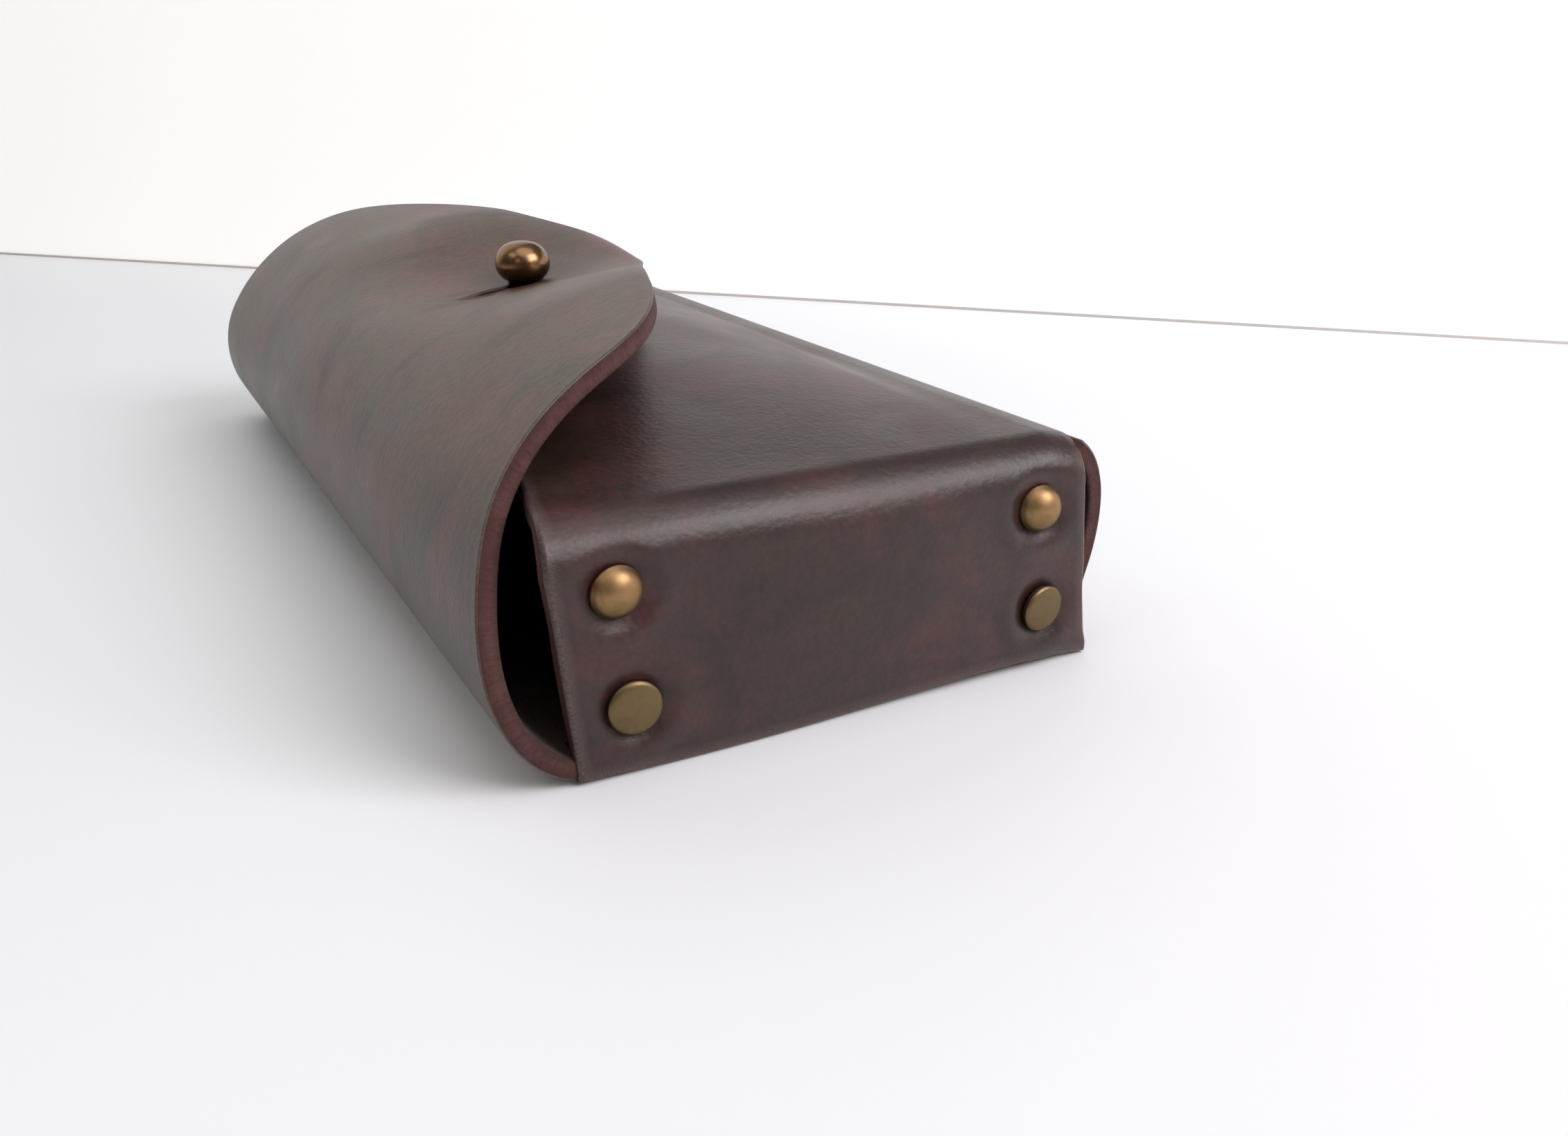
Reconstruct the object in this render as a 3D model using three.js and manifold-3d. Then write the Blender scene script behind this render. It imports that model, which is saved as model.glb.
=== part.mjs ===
// Leather eyeglasses case, lying on its bottom panel.
// Millimetres, +Z up. X runs across the case (spine at +X, flap wrap at -X), Y along its length.
// Origin: middle of the footprint, on the plane the case rests on.
//
// One thick sheet of leather is folded into the case: bottom panel, spine and top panel in one
// band, a tab at each end of the top panel folded down as the outer end wall, a tab at each end
// of the bottom panel folded up behind it, and a long flap that wraps round the open side and
// buttons over a stud on the top panel. Four double-cap rivets hold each pair of tabs.
//
// While shaping, X is counted from the flap-side foot of the end walls; the assembly moves it
// to the footprint's middle. "Near" is the -Y end and "far" the +Y end.
import * as THREE from 'three';
import { mergeVertices } from 'three/addons/utils/BufferGeometryUtils.js';
import Module from 'manifold-3d';

const { lerp, smoothstep } = THREE.MathUtils;
const QUARTER_TURN = Math.PI / 2;

const wasm = await Module();
wasm.setup();

// ------------------------------------------------------------------ case dimensions
const LEATHER = 2.2;            // thickness of the sheet
const GAP = 0.3;                // clearance between separate pieces
const LENGTH = 167.4;           // over the outer faces of the two end walls
const HALF_LENGTH = LENGTH / 2;
const WALL_WIDTH = 66.5;        // end wall, at its foot
const WALL_FOOT_Z = 0.3;        // lower edge of the end walls
const WALL_TOP = 28.1;          // top of the folds over the end walls
const LEAN = 0.11;              // how far the end walls lean to the flap side, per mm of height
const FOLD_RADIUS = 5.4;        // outside radius of the fold over each end wall
const FLAT_HALF = HALF_LENGTH - FOLD_RADIUS;    // half length of the band between the end folds
const TAB_RADIUS = 2.7;         // outside radius of the fold under each inner tab
const TAB_HEIGHT = 22.6;        // top edge of the inner tabs
const TAB_INSET = LEATHER + GAP;                // inner tab's outside face, in from the end
const CROWN = 5.6;              // how far the top panel swells in the middle
const CROWN_X = 25.0;           // where across the panel it stands highest
const MOUTH_RISE = 0.42;        // share of the crown kept at the mouth edge
const SWELL_POWER = 1.25;       // how the swell falls off towards the ends
const MOUTH_END = -1.2;         // mouth edge of the top panel at the ends
const MOUTH_MID = 0.8;          // mouth edge of the top panel along the middle
const MOUTH_BLEND = [3.8, 15.3];                // in from the end: where one becomes the other
const SPINE_TOP_X = 60.6;       // where the top panel turns down into the spine
const SPINE_OUT_X = 68.9;       // outermost point of the spine at the ends
const SPINE_BULGE = 0.6;        // extra swell of the spine at mid length
const SPINE_BULGE_TOP = 26;     // height where that swell has died out
const SPINE_INSET = 1.9;        // straight ends of the spine, in from the end

// ------------------------------------------------------------------ flap dimensions
// The outside profile starts on the bottom panel, curls round the open side and over the top.
// "Station" is a distance along it.
const FLAP_START_X = 2.98;
const FLAP_LENGTH = 94.28;      // the profile runs on a little past the flap's tip
const PROFILE_STEPS = 1200;
// Curvature (1/mm) at equal steps of the profile length
const FLAP_CURVATURE = [0.11006, 0.05499, 0.03711, 0.03127, 0.0119, 0.03698, 0.07962];

// Outline tables: [station, half width]. The far half of the tip is fuller than the near one.
const FLAP_OUTLINE = [
  [0, 83.4], [8.35, 83.35], [12.52, 83.21], [16.68, 82.74], [20.78, 81.98], [24.77, 80.75],
  [28.49, 78.86], [31.95, 76.52], [35.67, 74.63], [39.59, 73.18], [43.59, 71.95],
  [47.61, 70.83], [51.63, 69.68], [55.56, 68.27], [59.08, 66.05], [61.92, 62.99],
  [64.23, 59.51], [66.26, 55.86],
];
const TIP_AT = 90.3;
const FAR_OUTLINE = [
  ...FLAP_OUTLINE,
  [68.12, 52.12], [69.9, 48.34], [71.63, 44.53], [73.32, 40.71], [75, 36.88], [76.67, 33.05],
  [78.34, 29.3], [80, 25.7], [82, 21.8], [84, 18.2], [86, 15.0], [88, 11.4], [89.3, 7.8],
  [90.0, 4.0], [TIP_AT, 1.6],
];
const NEAR_OUTLINE = [
  ...FLAP_OUTLINE,
  [68, 52.0], [70, 46.2], [72, 40.6], [74, 35.4], [76, 30.4], [78, 25.9], [80, 21.5],
  [82, 17.1], [84, 12.7], [86, 8.7], [88, 5.2], [89.5, 2.8], [TIP_AT, 1.0],
];

const HINGES = [8.5, 15.5, 22.5, 29.5, 36.5];   // stations of the living-hinge lines
const STUD_AT = 68.6;           // station of the buttonhole's centre
const STUD_Y = -3.4;            // the button sits a little off the middle

// The buttoned stud holds the middle of the flap down, so its surface is dished there.
const DISH = {
  depth: 6.0,
  deepen: [36.5, 66.5],         // stations over which the dish forms
  fade: [72.2, 93.1],           // stations over which it fades towards the tip
  fadeShare: 0.85,
  nearHalf: 42.75,              // reach along Y, either side of the stud
  farHalf: 36,
};
// The far side of the tip stands a little higher.
const TIP_LIFT = { height: 1.2, acrossY: [-10, 10], stations: [78, 88] };

// ------------------------------------------------------------------ mesh helpers
// Manifold solid from a closed geometry, which is stripped of its normals and UVs.
function solid(geometry) {
  geometry.deleteAttribute('normal');
  geometry.deleteAttribute('uv');
  const merged = mergeVertices(geometry, 1e-4);
  return new wasm.Manifold(new wasm.Mesh({
    numProp: 3,
    vertProperties: new Float32Array(merged.attributes.position.array),
    triVerts: new Uint32Array(merged.index.array),
  }));
}

// Flat-shaded geometry from a Manifold solid.
function geometryOf(manifold) {
  const mesh = manifold.getMesh();
  const indexed = new THREE.BufferGeometry();
  indexed.setAttribute('position', new THREE.BufferAttribute(mesh.vertProperties, 3));
  indexed.setIndex(new THREE.BufferAttribute(mesh.triVerts, 1));
  const flat = indexed.toNonIndexed();
  flat.computeVertexNormals();
  return flat;
}

// Turned shape about +Y from [radius, height] points, running from the axis out and back.
function lathe(outline, segments) {
  return new THREE.LatheGeometry(outline.map(([r, h]) => new THREE.Vector2(r, h)), segments);
}

// Cylinder along Z.
function uprightCylinder(radius, height, segments) {
  return new THREE.CylinderGeometry(radius, radius, height, segments).rotateX(QUARTER_TURN);
}

// Sum of the corner normals of every cell that meets at each point, by key.
function cornerNormals(points, cells) {
  const sums = new Map([...points.keys()].map((key) => [key, new THREE.Vector3()]));
  for (const cell of cells) {
    cell.forEach((key, corner) => {
      const here = points.get(key);
      const toNext = points.get(cell[(corner + 1) % 4]).clone().sub(here).normalize();
      const toLast = points.get(cell[(corner + 3) % 4]).clone().sub(here);
      sums.get(key).add(toNext.cross(toLast.normalize()));
    });
  }
  return sums;
}

// A sheet of leather from quad cells over named outside points. Its inside points are pushed in
// by one thickness along the given normal, or else the local one, and its rim is closed round
// every free edge.
function sheet(points, cells, givenNormals) {
  const keys = [...points.keys()];
  const indexOf = new Map(keys.map((key, i) => [key, i]));
  const localNormals = cornerNormals(points, cells);
  const count = keys.length;
  const positions = new Float32Array(count * 6);
  keys.forEach((key, i) => {
    const outside = points.get(key);
    const normal = givenNormals.get(key) ?? localNormals.get(key).normalize();
    outside.toArray(positions, i * 3);
    outside.clone().addScaledVector(normal, -LEATHER).toArray(positions, (count + i) * 3);
  });

  const triangles = [];
  const freeEdges = new Map();
  for (const cell of cells) {
    const [a, b, c, d] = cell.map((key) => indexOf.get(key));
    triangles.push(a, b, c, a, c, d);
    triangles.push(count + a, count + c, count + b, count + a, count + d, count + c);
    for (const [from, to] of [[a, b], [b, c], [c, d], [d, a]]) {
      // an edge met in both directions is shared by two cells
      if (!freeEdges.delete(`${to}_${from}`)) freeEdges.set(`${from}_${to}`, [from, to]);
    }
  }
  for (const [from, to] of freeEdges.values()) {
    triangles.push(to, from, count + from, to, count + from, count + to);
  }
  const geometry = new THREE.BufferGeometry();
  geometry.setAttribute('position', new THREE.BufferAttribute(positions, 3));
  geometry.setIndex(triangles);
  return geometry;
}

// ------------------------------------------------------------------ flap surface
function flapCurvature(station) {
  const spans = FLAP_CURVATURE.length - 1;
  const at = Math.min(spans - 1e-9, (station / FLAP_LENGTH) * spans);
  const i = Math.floor(at);
  return lerp(FLAP_CURVATURE[i], FLAP_CURVATURE[i + 1], at - i);
}

// The profile, integrated from its curvature by the midpoint rule.
const PROFILE_STEP = FLAP_LENGTH / PROFILE_STEPS;
const profilePoints = (() => {
  const traced = [];
  let x = FLAP_START_X;
  let z = 0;
  let angle = Math.PI;
  for (let i = 0; i <= PROFILE_STEPS; i++) {
    traced.push({ x, z, angle });
    const midAngle = angle - flapCurvature(i * PROFILE_STEP) * PROFILE_STEP / 2;
    x += Math.cos(midAngle) * PROFILE_STEP;
    z += Math.sin(midAngle) * PROFILE_STEP;
    angle -= flapCurvature((i + 0.5) * PROFILE_STEP) * PROFILE_STEP;
  }
  return traced;
})();

// Outside point and direction angle of the profile at a station.
function profile(station) {
  const at = station / PROFILE_STEP;
  const i = Math.floor(at);
  const [p, q] = [profilePoints[i], profilePoints[i + 1]];
  return {
    x: lerp(p.x, q.x, at - i),
    z: lerp(p.z, q.z, at - i),
    angle: lerp(p.angle, q.angle, at - i),
  };
}

// Outside surface of the flap.
function flapPoint(station, y) {
  const { x, z } = profile(station);
  const fade = 1 - DISH.fadeShare * smoothstep(station, ...DISH.fade);
  const along = smoothstep(station, ...DISH.deepen) * fade;
  const reach = y > STUD_Y ? DISH.farHalf : DISH.nearHalf;
  const across = Math.cos(Math.min(1, Math.abs(y - STUD_Y) / reach) * QUARTER_TURN) ** 2;
  const lift = TIP_LIFT.height * smoothstep(y, ...TIP_LIFT.acrossY)
    * smoothstep(station, ...TIP_LIFT.stations);
  return new THREE.Vector3(x, y, z - DISH.depth * along * across + lift);
}

function flapNormal(station, y) {
  const step = 0.05;
  const along = flapPoint(station + step, y).sub(flapPoint(station - step, y));
  const across = flapPoint(station, y + step).sub(flapPoint(station, y - step));
  return along.cross(across).normalize();
}

function flapHalfWidth(station, isFar) {
  const outline = isFar ? FAR_OUTLINE : NEAR_OUTLINE;
  for (let i = 1; i < outline.length; i++) {
    const [s0, width0] = outline[i - 1];
    const [s1, width1] = outline[i];
    if (station <= s1) return lerp(width0, width1, (station - s0) / (s1 - s0));
  }
  return outline.at(-1)[1];
}

// ------------------------------------------------------------------ band section
// Share of the full swell at a place along the length: 1 in the middle, 0 at the end folds.
const swell = (y) => Math.max(0, 1 - (y / FLAT_HALF) ** 2) ** SWELL_POWER;

// Height of the swollen top panel over WALL_TOP, at mid length.
function panelRise(x) {
  if (x < CROWN_X) {
    const fromMouth = Math.max(0, (x - MOUTH_MID) / (CROWN_X - MOUTH_MID));
    return CROWN * lerp(MOUTH_RISE, 1, Math.sin(QUARTER_TURN * fromMouth));
  }
  return CROWN * Math.max(0, 1 - ((x - CROWN_X) / (SPINE_TOP_X - CROWN_X)) ** 2);
}

function mouthEdge(y) {
  return lerp(MOUTH_END, MOUTH_MID, smoothstep(HALF_LENGTH - Math.abs(y), ...MOUTH_BLEND));
}

// Spine section at the ends: [x, z], from the bottom panel up to the top panel
const SPINE_SECTION = [
  [62.4, 0], [65.0, 0.75], [66.3, 3.0], [67.1, 8.0], [68.4, 13.0], [SPINE_OUT_X, 17.5],
  [68.5, 21.5], [67.0, 25.0], [64.4, 27.3], [SPINE_TOP_X, WALL_TOP],
];
const spineCurve = new THREE.CatmullRomCurve3(
  SPINE_SECTION.map(([x, z]) => new THREE.Vector3(x, 0, z)), false, 'centripetal');

// Where the rows of the mesh fall on each stretch of the band
const ROOT_STATIONS = [HINGES[0] - GAP / 2, 7.0, 5.6, 4.4];     // along the flap profile
const NOTCH_POINT = [0.6, 0.06];                                // between flap root and tabs
const TAB_ROWS_X = [3.2, 8, 18, 30, 42, 54, 60.5];
const SPINE_SHARES = [0, 0.1, 0.2, 0.32, 0.44, 0.56, 0.66, 0.74, 0.8, 0.84, 0.87, 0.935, 1];
const LID_FROM = 10;            // the end wall's fold starts at this one of the spine's rows
const PANEL_SHARES = [0.02, 0.12, 0.24, 0.36, 0.48, 0.58, 0.68, 0.78, 0.88, 1];
const PANEL_EASE = 1 / 9;       // share of the panel over which its swell sets in

// Each row gives its outside [x, z] for a y. They run from the first living hinge round the
// bottom, up the spine and across the top panel to the mouth.
function rootRow(station) {
  const { x, z } = profile(station);
  return () => [x, z];
}

function spineRow(share) {
  const { x, z } = spineCurve.getPointAt(share);
  const bulge = SPINE_BULGE * Math.sin(Math.PI * Math.min(1, z / SPINE_BULGE_TOP)) ** 2;
  return (y) => [x + bulge * swell(y), z];
}

function panelRow(share) {
  return (y) => {
    const x = lerp(SPINE_TOP_X, mouthEdge(y), share);
    return [x, WALL_TOP + panelRise(x) * swell(y) * smoothstep(share, 0, PANEL_EASE)];
  };
}

const rows = [
  ...ROOT_STATIONS.map(rootRow),
  () => NOTCH_POINT,
  ...TAB_ROWS_X.map((x) => () => [x, 0]),
  ...SPINE_SHARES.map(spineRow),
  ...PANEL_SHARES.map(panelRow),
];
const ROOT_END = ROOT_STATIONS.length - 1;
const TAB_START = ROOT_END + 2;
const TAB_END = TAB_START + TAB_ROWS_X.length - 1;
const SPINE_START = TAB_END + 1;
const LID_START = SPINE_START + LID_FROM;
const LID_END = rows.length - 1;

// Columns along Y, drawn together a little towards the ends
const COLUMN_STEPS = 16;
const COLUMN_BUNCHING = 0.35;
const columns = Array.from({ length: COLUMN_STEPS + 1 }, (_, j) => {
  const share = j / COLUMN_STEPS;
  return -FLAT_HALF * lerp(1 - 2 * share, Math.cos(Math.PI * share), COLUMN_BUNCHING);
});

// ------------------------------------------------------------------ leather body
// A wing continues some rows of the band past its flat length. Its placing function turns a
// row's end point and a step number into [x, distance in from the end, z].
const TAB_FOLD_STEPS = 5;
const TAB_RISE_STEPS = 2;
const LID_FOLD_STEPS = 6;
const LID_DROP_STEPS = 3;

// Inner tab: a short flat run (step 1), the fold, then straight up.
function placeTab([x], step) {
  const foldStep = step - 1;
  if (foldStep <= TAB_FOLD_STEPS) {
    const angle = (foldStep / TAB_FOLD_STEPS) * QUARTER_TURN;
    const z = TAB_RADIUS * (1 - Math.cos(angle));
    return [x - LEAN * z, TAB_INSET + TAB_RADIUS * (1 - Math.sin(angle)), z];
  }
  const z = lerp(TAB_RADIUS, TAB_HEIGHT, (foldStep - TAB_FOLD_STEPS) / TAB_RISE_STEPS);
  return [x - LEAN * z, TAB_INSET, z];
}

// Outer end wall: the rounded fold, then straight down to the foot.
const [lidSpineX] = rows[LID_START](FLAT_HALF);
const [lidMouthX] = rows[LID_END](FLAT_HALF);
function placeLid([topX, topZ], step) {
  const footX = lerp(WALL_WIDTH, 0, (lidSpineX - topX) / (lidSpineX - lidMouthX));
  const foldEndZ = topZ - FOLD_RADIUS;
  if (step <= LID_FOLD_STEPS) {
    const share = step / LID_FOLD_STEPS;
    const angle = share * QUARTER_TURN;
    return [
      lerp(topX, footX - LEAN * foldEndZ, share),
      FOLD_RADIUS * (1 - Math.sin(angle)),
      topZ - FOLD_RADIUS * (1 - Math.cos(angle)),
    ];
  }
  const z = lerp(foldEndZ, WALL_FOOT_Z, (step - LID_FOLD_STEPS) / LID_DROP_STEPS);
  return [footX - LEAN * z, 0, z];
}

const straightTo = (inset) => ([x, z]) => [x, inset, z];
const WINGS = [
  { name: 'root', from: 0, to: ROOT_END, steps: 1, place: straightTo(GAP) },
  {
    name: 'spine', from: SPINE_START + 2, to: LID_START - 1, steps: 1,
    place: straightTo(SPINE_INSET),
  },
  {
    name: 'tab', from: TAB_START, to: TAB_END, steps: 1 + TAB_FOLD_STEPS + TAB_RISE_STEPS,
    place: placeTab,
  },
  {
    name: 'lid', from: LID_START, to: LID_END, steps: LID_FOLD_STEPS + LID_DROP_STEPS,
    place: placeLid,
  },
];

const bandKey = (i, j) => `band_${i}_${j}`;
function wingKey(name, side, i, step) {
  if (step === 0) return bandKey(i, side < 0 ? 0 : COLUMN_STEPS);
  return `${name}${side}_${i}_${step}`;
}

function addWing(points, cells, { name, from, to, steps, place }, side) {
  const key = (i, step) => wingKey(name, side, i, step);
  for (let i = from; i <= to; i++) {
    for (let k = 1; k <= steps; k++) {
      const [x, inset, z] = place(rows[i](side * FLAT_HALF), k);
      points.set(key(i, k), new THREE.Vector3(x, side * (HALF_LENGTH - inset), z));
    }
  }
  for (let i = from; i < to; i++) {
    for (let k = 0; k < steps; k++) {
      const cell = [key(i, k), key(i, k + 1), key(i + 1, k + 1), key(i + 1, k)];
      cells.push(side > 0 ? cell : cell.reverse());
    }
  }
}

// The flap root takes the profile's own normals, square to it.
function rootNormals() {
  const normals = new Map();
  ROOT_STATIONS.forEach((station, i) => {
    const { angle } = profile(station);
    const outward = new THREE.Vector3(-Math.sin(angle), 0, Math.cos(angle));
    columns.forEach((_, j) => normals.set(bandKey(i, j), outward));
    for (const side of [-1, 1]) normals.set(wingKey('root', side, i, 1), outward);
  });
  return normals;
}

function foldedSheet() {
  const points = new Map();
  const cells = [];
  rows.forEach((row, i) => columns.forEach((y, j) => {
    const [x, z] = row(y);
    points.set(bandKey(i, j), new THREE.Vector3(x, y, z));
  }));
  for (let i = 0; i + 1 < rows.length; i++) {
    for (let j = 0; j < COLUMN_STEPS; j++) {
      cells.push([bandKey(i, j), bandKey(i, j + 1), bandKey(i + 1, j + 1), bandKey(i + 1, j)]);
    }
  }
  for (const side of [-1, 1]) {
    for (const wing of WINGS) addWing(points, cells, wing, side);
  }
  return sheet(points, cells, rootNormals());
}

// ------------------------------------------------------------------ rivets
// A rivet's +Y axis points out of the end wall, from the wall's outer face.
const RIVET_FLAP_INSET = 7.0;   // in from the flap-side edge of the wall's foot
const RIVET_SPINE_INSET = 6.8;  // in from the spine-side edge
const RIVET_LOW = 7.6;
const RIVET_HIGH = 20.3;
const RIVET_CAP_R = 3.0;
const RIVET_CAP_H = 1.5;
const LOWER_CAP_SHARE = 0.75;   // the lower caps are flatter
const RIVET_BACK_H = 1.1;
const RIVET_POST_R = 1.45;
const RIVET_BORE_R = 0.85;
const RIVET_BORE_END = -0.9;    // closed end of the post's bore
const RIVET_PIN_R = 0.5;
const RIVET_PIN_SHOULDER = -1.3;
const RIVET_PIN_TIP = -1.1;
const RIVET_SEGMENTS = 20;
const STACK = 2 * LEATHER + GAP;        // the two layers a rivet goes through

const rivetPlaces = [];
for (const [end, side] of [['near', -1], ['far', 1]]) {
  for (const [level, z] of [['upper', RIVET_HIGH], ['lower', RIVET_LOW]]) {
    for (const [hand, footX] of [
      ['flap_side', RIVET_FLAP_INSET], ['spine_side', WALL_WIDTH - RIVET_SPINE_INSET]]) {
      rivetPlaces.push({ name: `${end}_${level}_${hand}`, side, level, x: footX - LEAN * z, z });
    }
  }
}

// Outer cap with its hollow post.
function rivetCap(level) {
  const radius = RIVET_CAP_R;
  const height = RIVET_CAP_H * (level === 'upper' ? 1 : LOWER_CAP_SHARE);
  const seat = GAP;                     // underside of the cap
  const postEnd = -(STACK + GAP / 2);
  return lathe([
    [0, RIVET_BORE_END], [RIVET_BORE_R, RIVET_BORE_END],
    [RIVET_BORE_R, postEnd], [RIVET_POST_R, postEnd],
    [RIVET_POST_R, seat], [radius * 0.93, seat], [radius, seat + 0.28],
    [radius * 0.96, seat + height * 0.45], [radius * 0.82, seat + height * 0.74],
    [radius * 0.55, seat + height * 0.93], [0, seat + height],
  ], RIVET_SEGMENTS);
}

// Inner cap, with the pin that stands inside the hollow post.
function rivetBack() {
  const radius = RIVET_CAP_R;
  const height = RIVET_BACK_H;
  const seat = -(STACK + GAP);
  const recessRadius = RIVET_POST_R + 0.05;
  const recessFloor = seat - 0.25;
  return lathe([
    [0, seat - height], [radius * 0.6, seat - height * 0.92],
    [radius * 0.88, seat - height * 0.66], [radius, seat - 0.3], [radius * 0.94, seat],
    [recessRadius, seat], [recessRadius, recessFloor], [RIVET_PIN_R, recessFloor],
    [RIVET_PIN_R, RIVET_PIN_SHOULDER], [0, RIVET_PIN_TIP],
  ], RIVET_SEGMENTS);
}

function rivetDrill({ x, side, z }) {
  const radius = RIVET_POST_R + GAP;
  return new THREE.CylinderGeometry(radius, radius, STACK + 3, 16)
    .translate(x, side * (HALF_LENGTH - STACK / 2), z);
}

// ------------------------------------------------------------------ button stud
const STUD_HEAD_R = 4.0;
const STUD_HEAD_H = 6.0;
const STUD_HEAD_STEPS = 11;
const STUD_HEAD_SKIP = 0.6;     // part of a step left out at the foot of the head's curve
const STUD_HEAD_POWER = 0.8;    // below 1 makes the head fuller than an ellipsoid
const STUD_NECK_R = 2.1;
const STUD_SCREW_R = 1.2;
const STUD_BORE_DEPTH = 4.2;
const STUD_SCREW_REACH = 3.9;   // how far the screw goes into the stud
const STUD_BASE_R = 4.8;
const STUD_BASE_H = 1.2;
const STUD_SEGMENTS = 28;
const SCREW_SLOT = { width: 1.1, height: 0.9 };         // the lower half of its height is in air
const BUTTONHOLE_R = 4.6;       // clears the stud head
const BUTTONHOLE_SLOT = 5.5;    // it runs on this far towards the tip

const panelTopAtStud = WALL_TOP + CROWN;
const studFoot = panelTopAtStud + GAP;
const flapAtStud = flapPoint(STUD_AT, STUD_Y);
const STUD_X = flapAtStud.x;
const studHeadZ = flapAtStud.z - 0.4;   // underside of the head, just inside the buttonhole's rim

function studHead() {
  const boreRadius = STUD_SCREW_R + GAP;
  const halfHeight = STUD_HEAD_H / 2;
  const outline = [
    [0, studFoot + STUD_BORE_DEPTH], [boreRadius, studFoot + STUD_BORE_DEPTH],
    [boreRadius, studFoot], [STUD_NECK_R, studFoot], [STUD_NECK_R, studHeadZ],
  ];
  for (let i = 1; i <= STUD_HEAD_STEPS; i++) {
    const share = (i + STUD_HEAD_SKIP) / (STUD_HEAD_STEPS + STUD_HEAD_SKIP);
    const angle = -QUARTER_TURN + Math.PI * share;
    // the last point is put exactly on the axis
    const radius = i === STUD_HEAD_STEPS ? 0 : STUD_HEAD_R * Math.cos(angle) ** STUD_HEAD_POWER;
    outline.push([radius, studHeadZ + halfHeight + halfHeight * Math.sin(angle)]);
  }
  return lathe(outline, STUD_SEGMENTS).rotateX(QUARTER_TURN);
}

// Screw from below, with a slot across its wide base.
function studScrew() {
  const baseTop = panelTopAtStud - LEATHER - 3 * GAP;   // the panel curves down over the base
  const baseUnder = baseTop - STUD_BASE_H;
  const shankTop = studFoot + STUD_SCREW_REACH;
  const screw = solid(lathe([
    [0, baseUnder], [STUD_BASE_R - 0.4, baseUnder], [STUD_BASE_R, baseUnder + 0.4],
    [STUD_BASE_R, baseTop - 0.15], [STUD_BASE_R - 0.15, baseTop], [STUD_SCREW_R, baseTop],
    [STUD_SCREW_R, shankTop - 0.3], [STUD_SCREW_R - 0.3, shankTop], [0, shankTop],
  ], STUD_SEGMENTS).rotateX(QUARTER_TURN));
  const slot = new THREE.BoxGeometry(STUD_BASE_R * 2 + 2, SCREW_SLOT.width, SCREW_SLOT.height)
    .translate(0, 0, baseUnder);
  return geometryOf(screw.subtract(solid(slot)));
}

// ------------------------------------------------------------------ leather pieces
// The folded sheet, with its rivet holes and the hole for the stud's screw.
function leatherBody() {
  const screwDrill = uprightCylinder(STUD_SCREW_R + GAP, 8, 20)
    .translate(STUD_X, STUD_Y, panelTopAtStud - 1);
  let body = solid(foldedSheet());
  for (const drill of [...rivetPlaces.map(rivetDrill), screwDrill]) {
    body = body.subtract(solid(drill));
  }
  return geometryOf(body);
}

// A flap piece between two stations; bunching over 1 draws its rows together towards `to`.
function flapPiece({ from, to, stepsAlong, stepsAcross, bunching = 1 }) {
  const points = new Map();
  const normals = new Map();
  const cells = [];
  const key = (i, j) => `${i}_${j}`;
  for (let i = 0; i <= stepsAlong; i++) {
    const station = lerp(from, to, 1 - (1 - i / stepsAlong) ** bunching);
    for (let j = 0; j <= stepsAcross; j++) {
      const across = 2 * j / stepsAcross - 1;
      const y = across * flapHalfWidth(station, across > 0);
      points.set(key(i, j), flapPoint(station, y));
      normals.set(key(i, j), flapNormal(station, y));
    }
  }
  for (let i = 0; i < stepsAlong; i++) {
    for (let j = 0; j < stepsAcross; j++) {
      cells.push([key(i, j), key(i + 1, j), key(i + 1, j + 1), key(i, j + 1)]);
    }
  }
  return sheet(points, cells, normals);
}

// The strip of flap between one living hinge and the next.
function flapWrap(hinge, stepsAlong) {
  return flapPiece({
    from: HINGES[hinge] + GAP / 2, to: HINGES[hinge + 1] - GAP / 2, stepsAlong, stepsAcross: 14,
  });
}

// The rest of the flap, with the buttonhole cut through it.
function flapTongue() {
  const tongue = flapPiece({
    from: HINGES.at(-1) + GAP / 2, to: TIP_AT, stepsAlong: 28, stepsAcross: 18, bunching: 1.4,
  });
  const outline = new THREE.Shape();
  outline.absarc(BUTTONHOLE_SLOT, 0, BUTTONHOLE_R, -QUARTER_TURN, QUARTER_TURN, false);
  outline.absarc(0, 0, BUTTONHOLE_R, QUARTER_TURN, 3 * QUARTER_TURN, false);
  const cut = new THREE.ExtrudeGeometry(
    outline, { depth: 16, bevelEnabled: false, curveSegments: 10 })
    .translate(STUD_X, STUD_Y, flapAtStud.z - 9);
  return geometryOf(solid(tongue).subtract(solid(cut)));
}

// ------------------------------------------------------------------ materials
const MATERIALS = {
  leather: { color: 0x4a3334, roughness: 0.5, metalness: 0 },
  flap: { color: 0x564240, roughness: 0.5, metalness: 0 },
  rivet: { color: 0x8a6f45, roughness: 0.38, metalness: 0.9 },
  back: { color: 0x7d6848, roughness: 0.45, metalness: 0.9 },
  stud: { color: 0x6b4a30, roughness: 0.25, metalness: 0.95 },
};

// ------------------------------------------------------------------ assembly
// Footprint in X: from the outermost point of the flap wrap to that of the spine
let wrapX = 0;
for (let s = 0; s < 60; s += 0.02) wrapX = Math.min(wrapX, profile(s).x);
const middleX = (wrapX + SPINE_OUT_X + SPINE_BULGE) / 2;

const part = new THREE.Group();
part.name = 'eyeglasses_case';
const shaped = new THREE.Group();
shaped.position.x = -middleX;
part.add(shaped);

function add(parent, name, geometry, material) {
  const mesh = new THREE.Mesh(geometry, new THREE.MeshStandardMaterial(MATERIALS[material]));
  mesh.name = name;
  parent.add(mesh);
}

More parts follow.
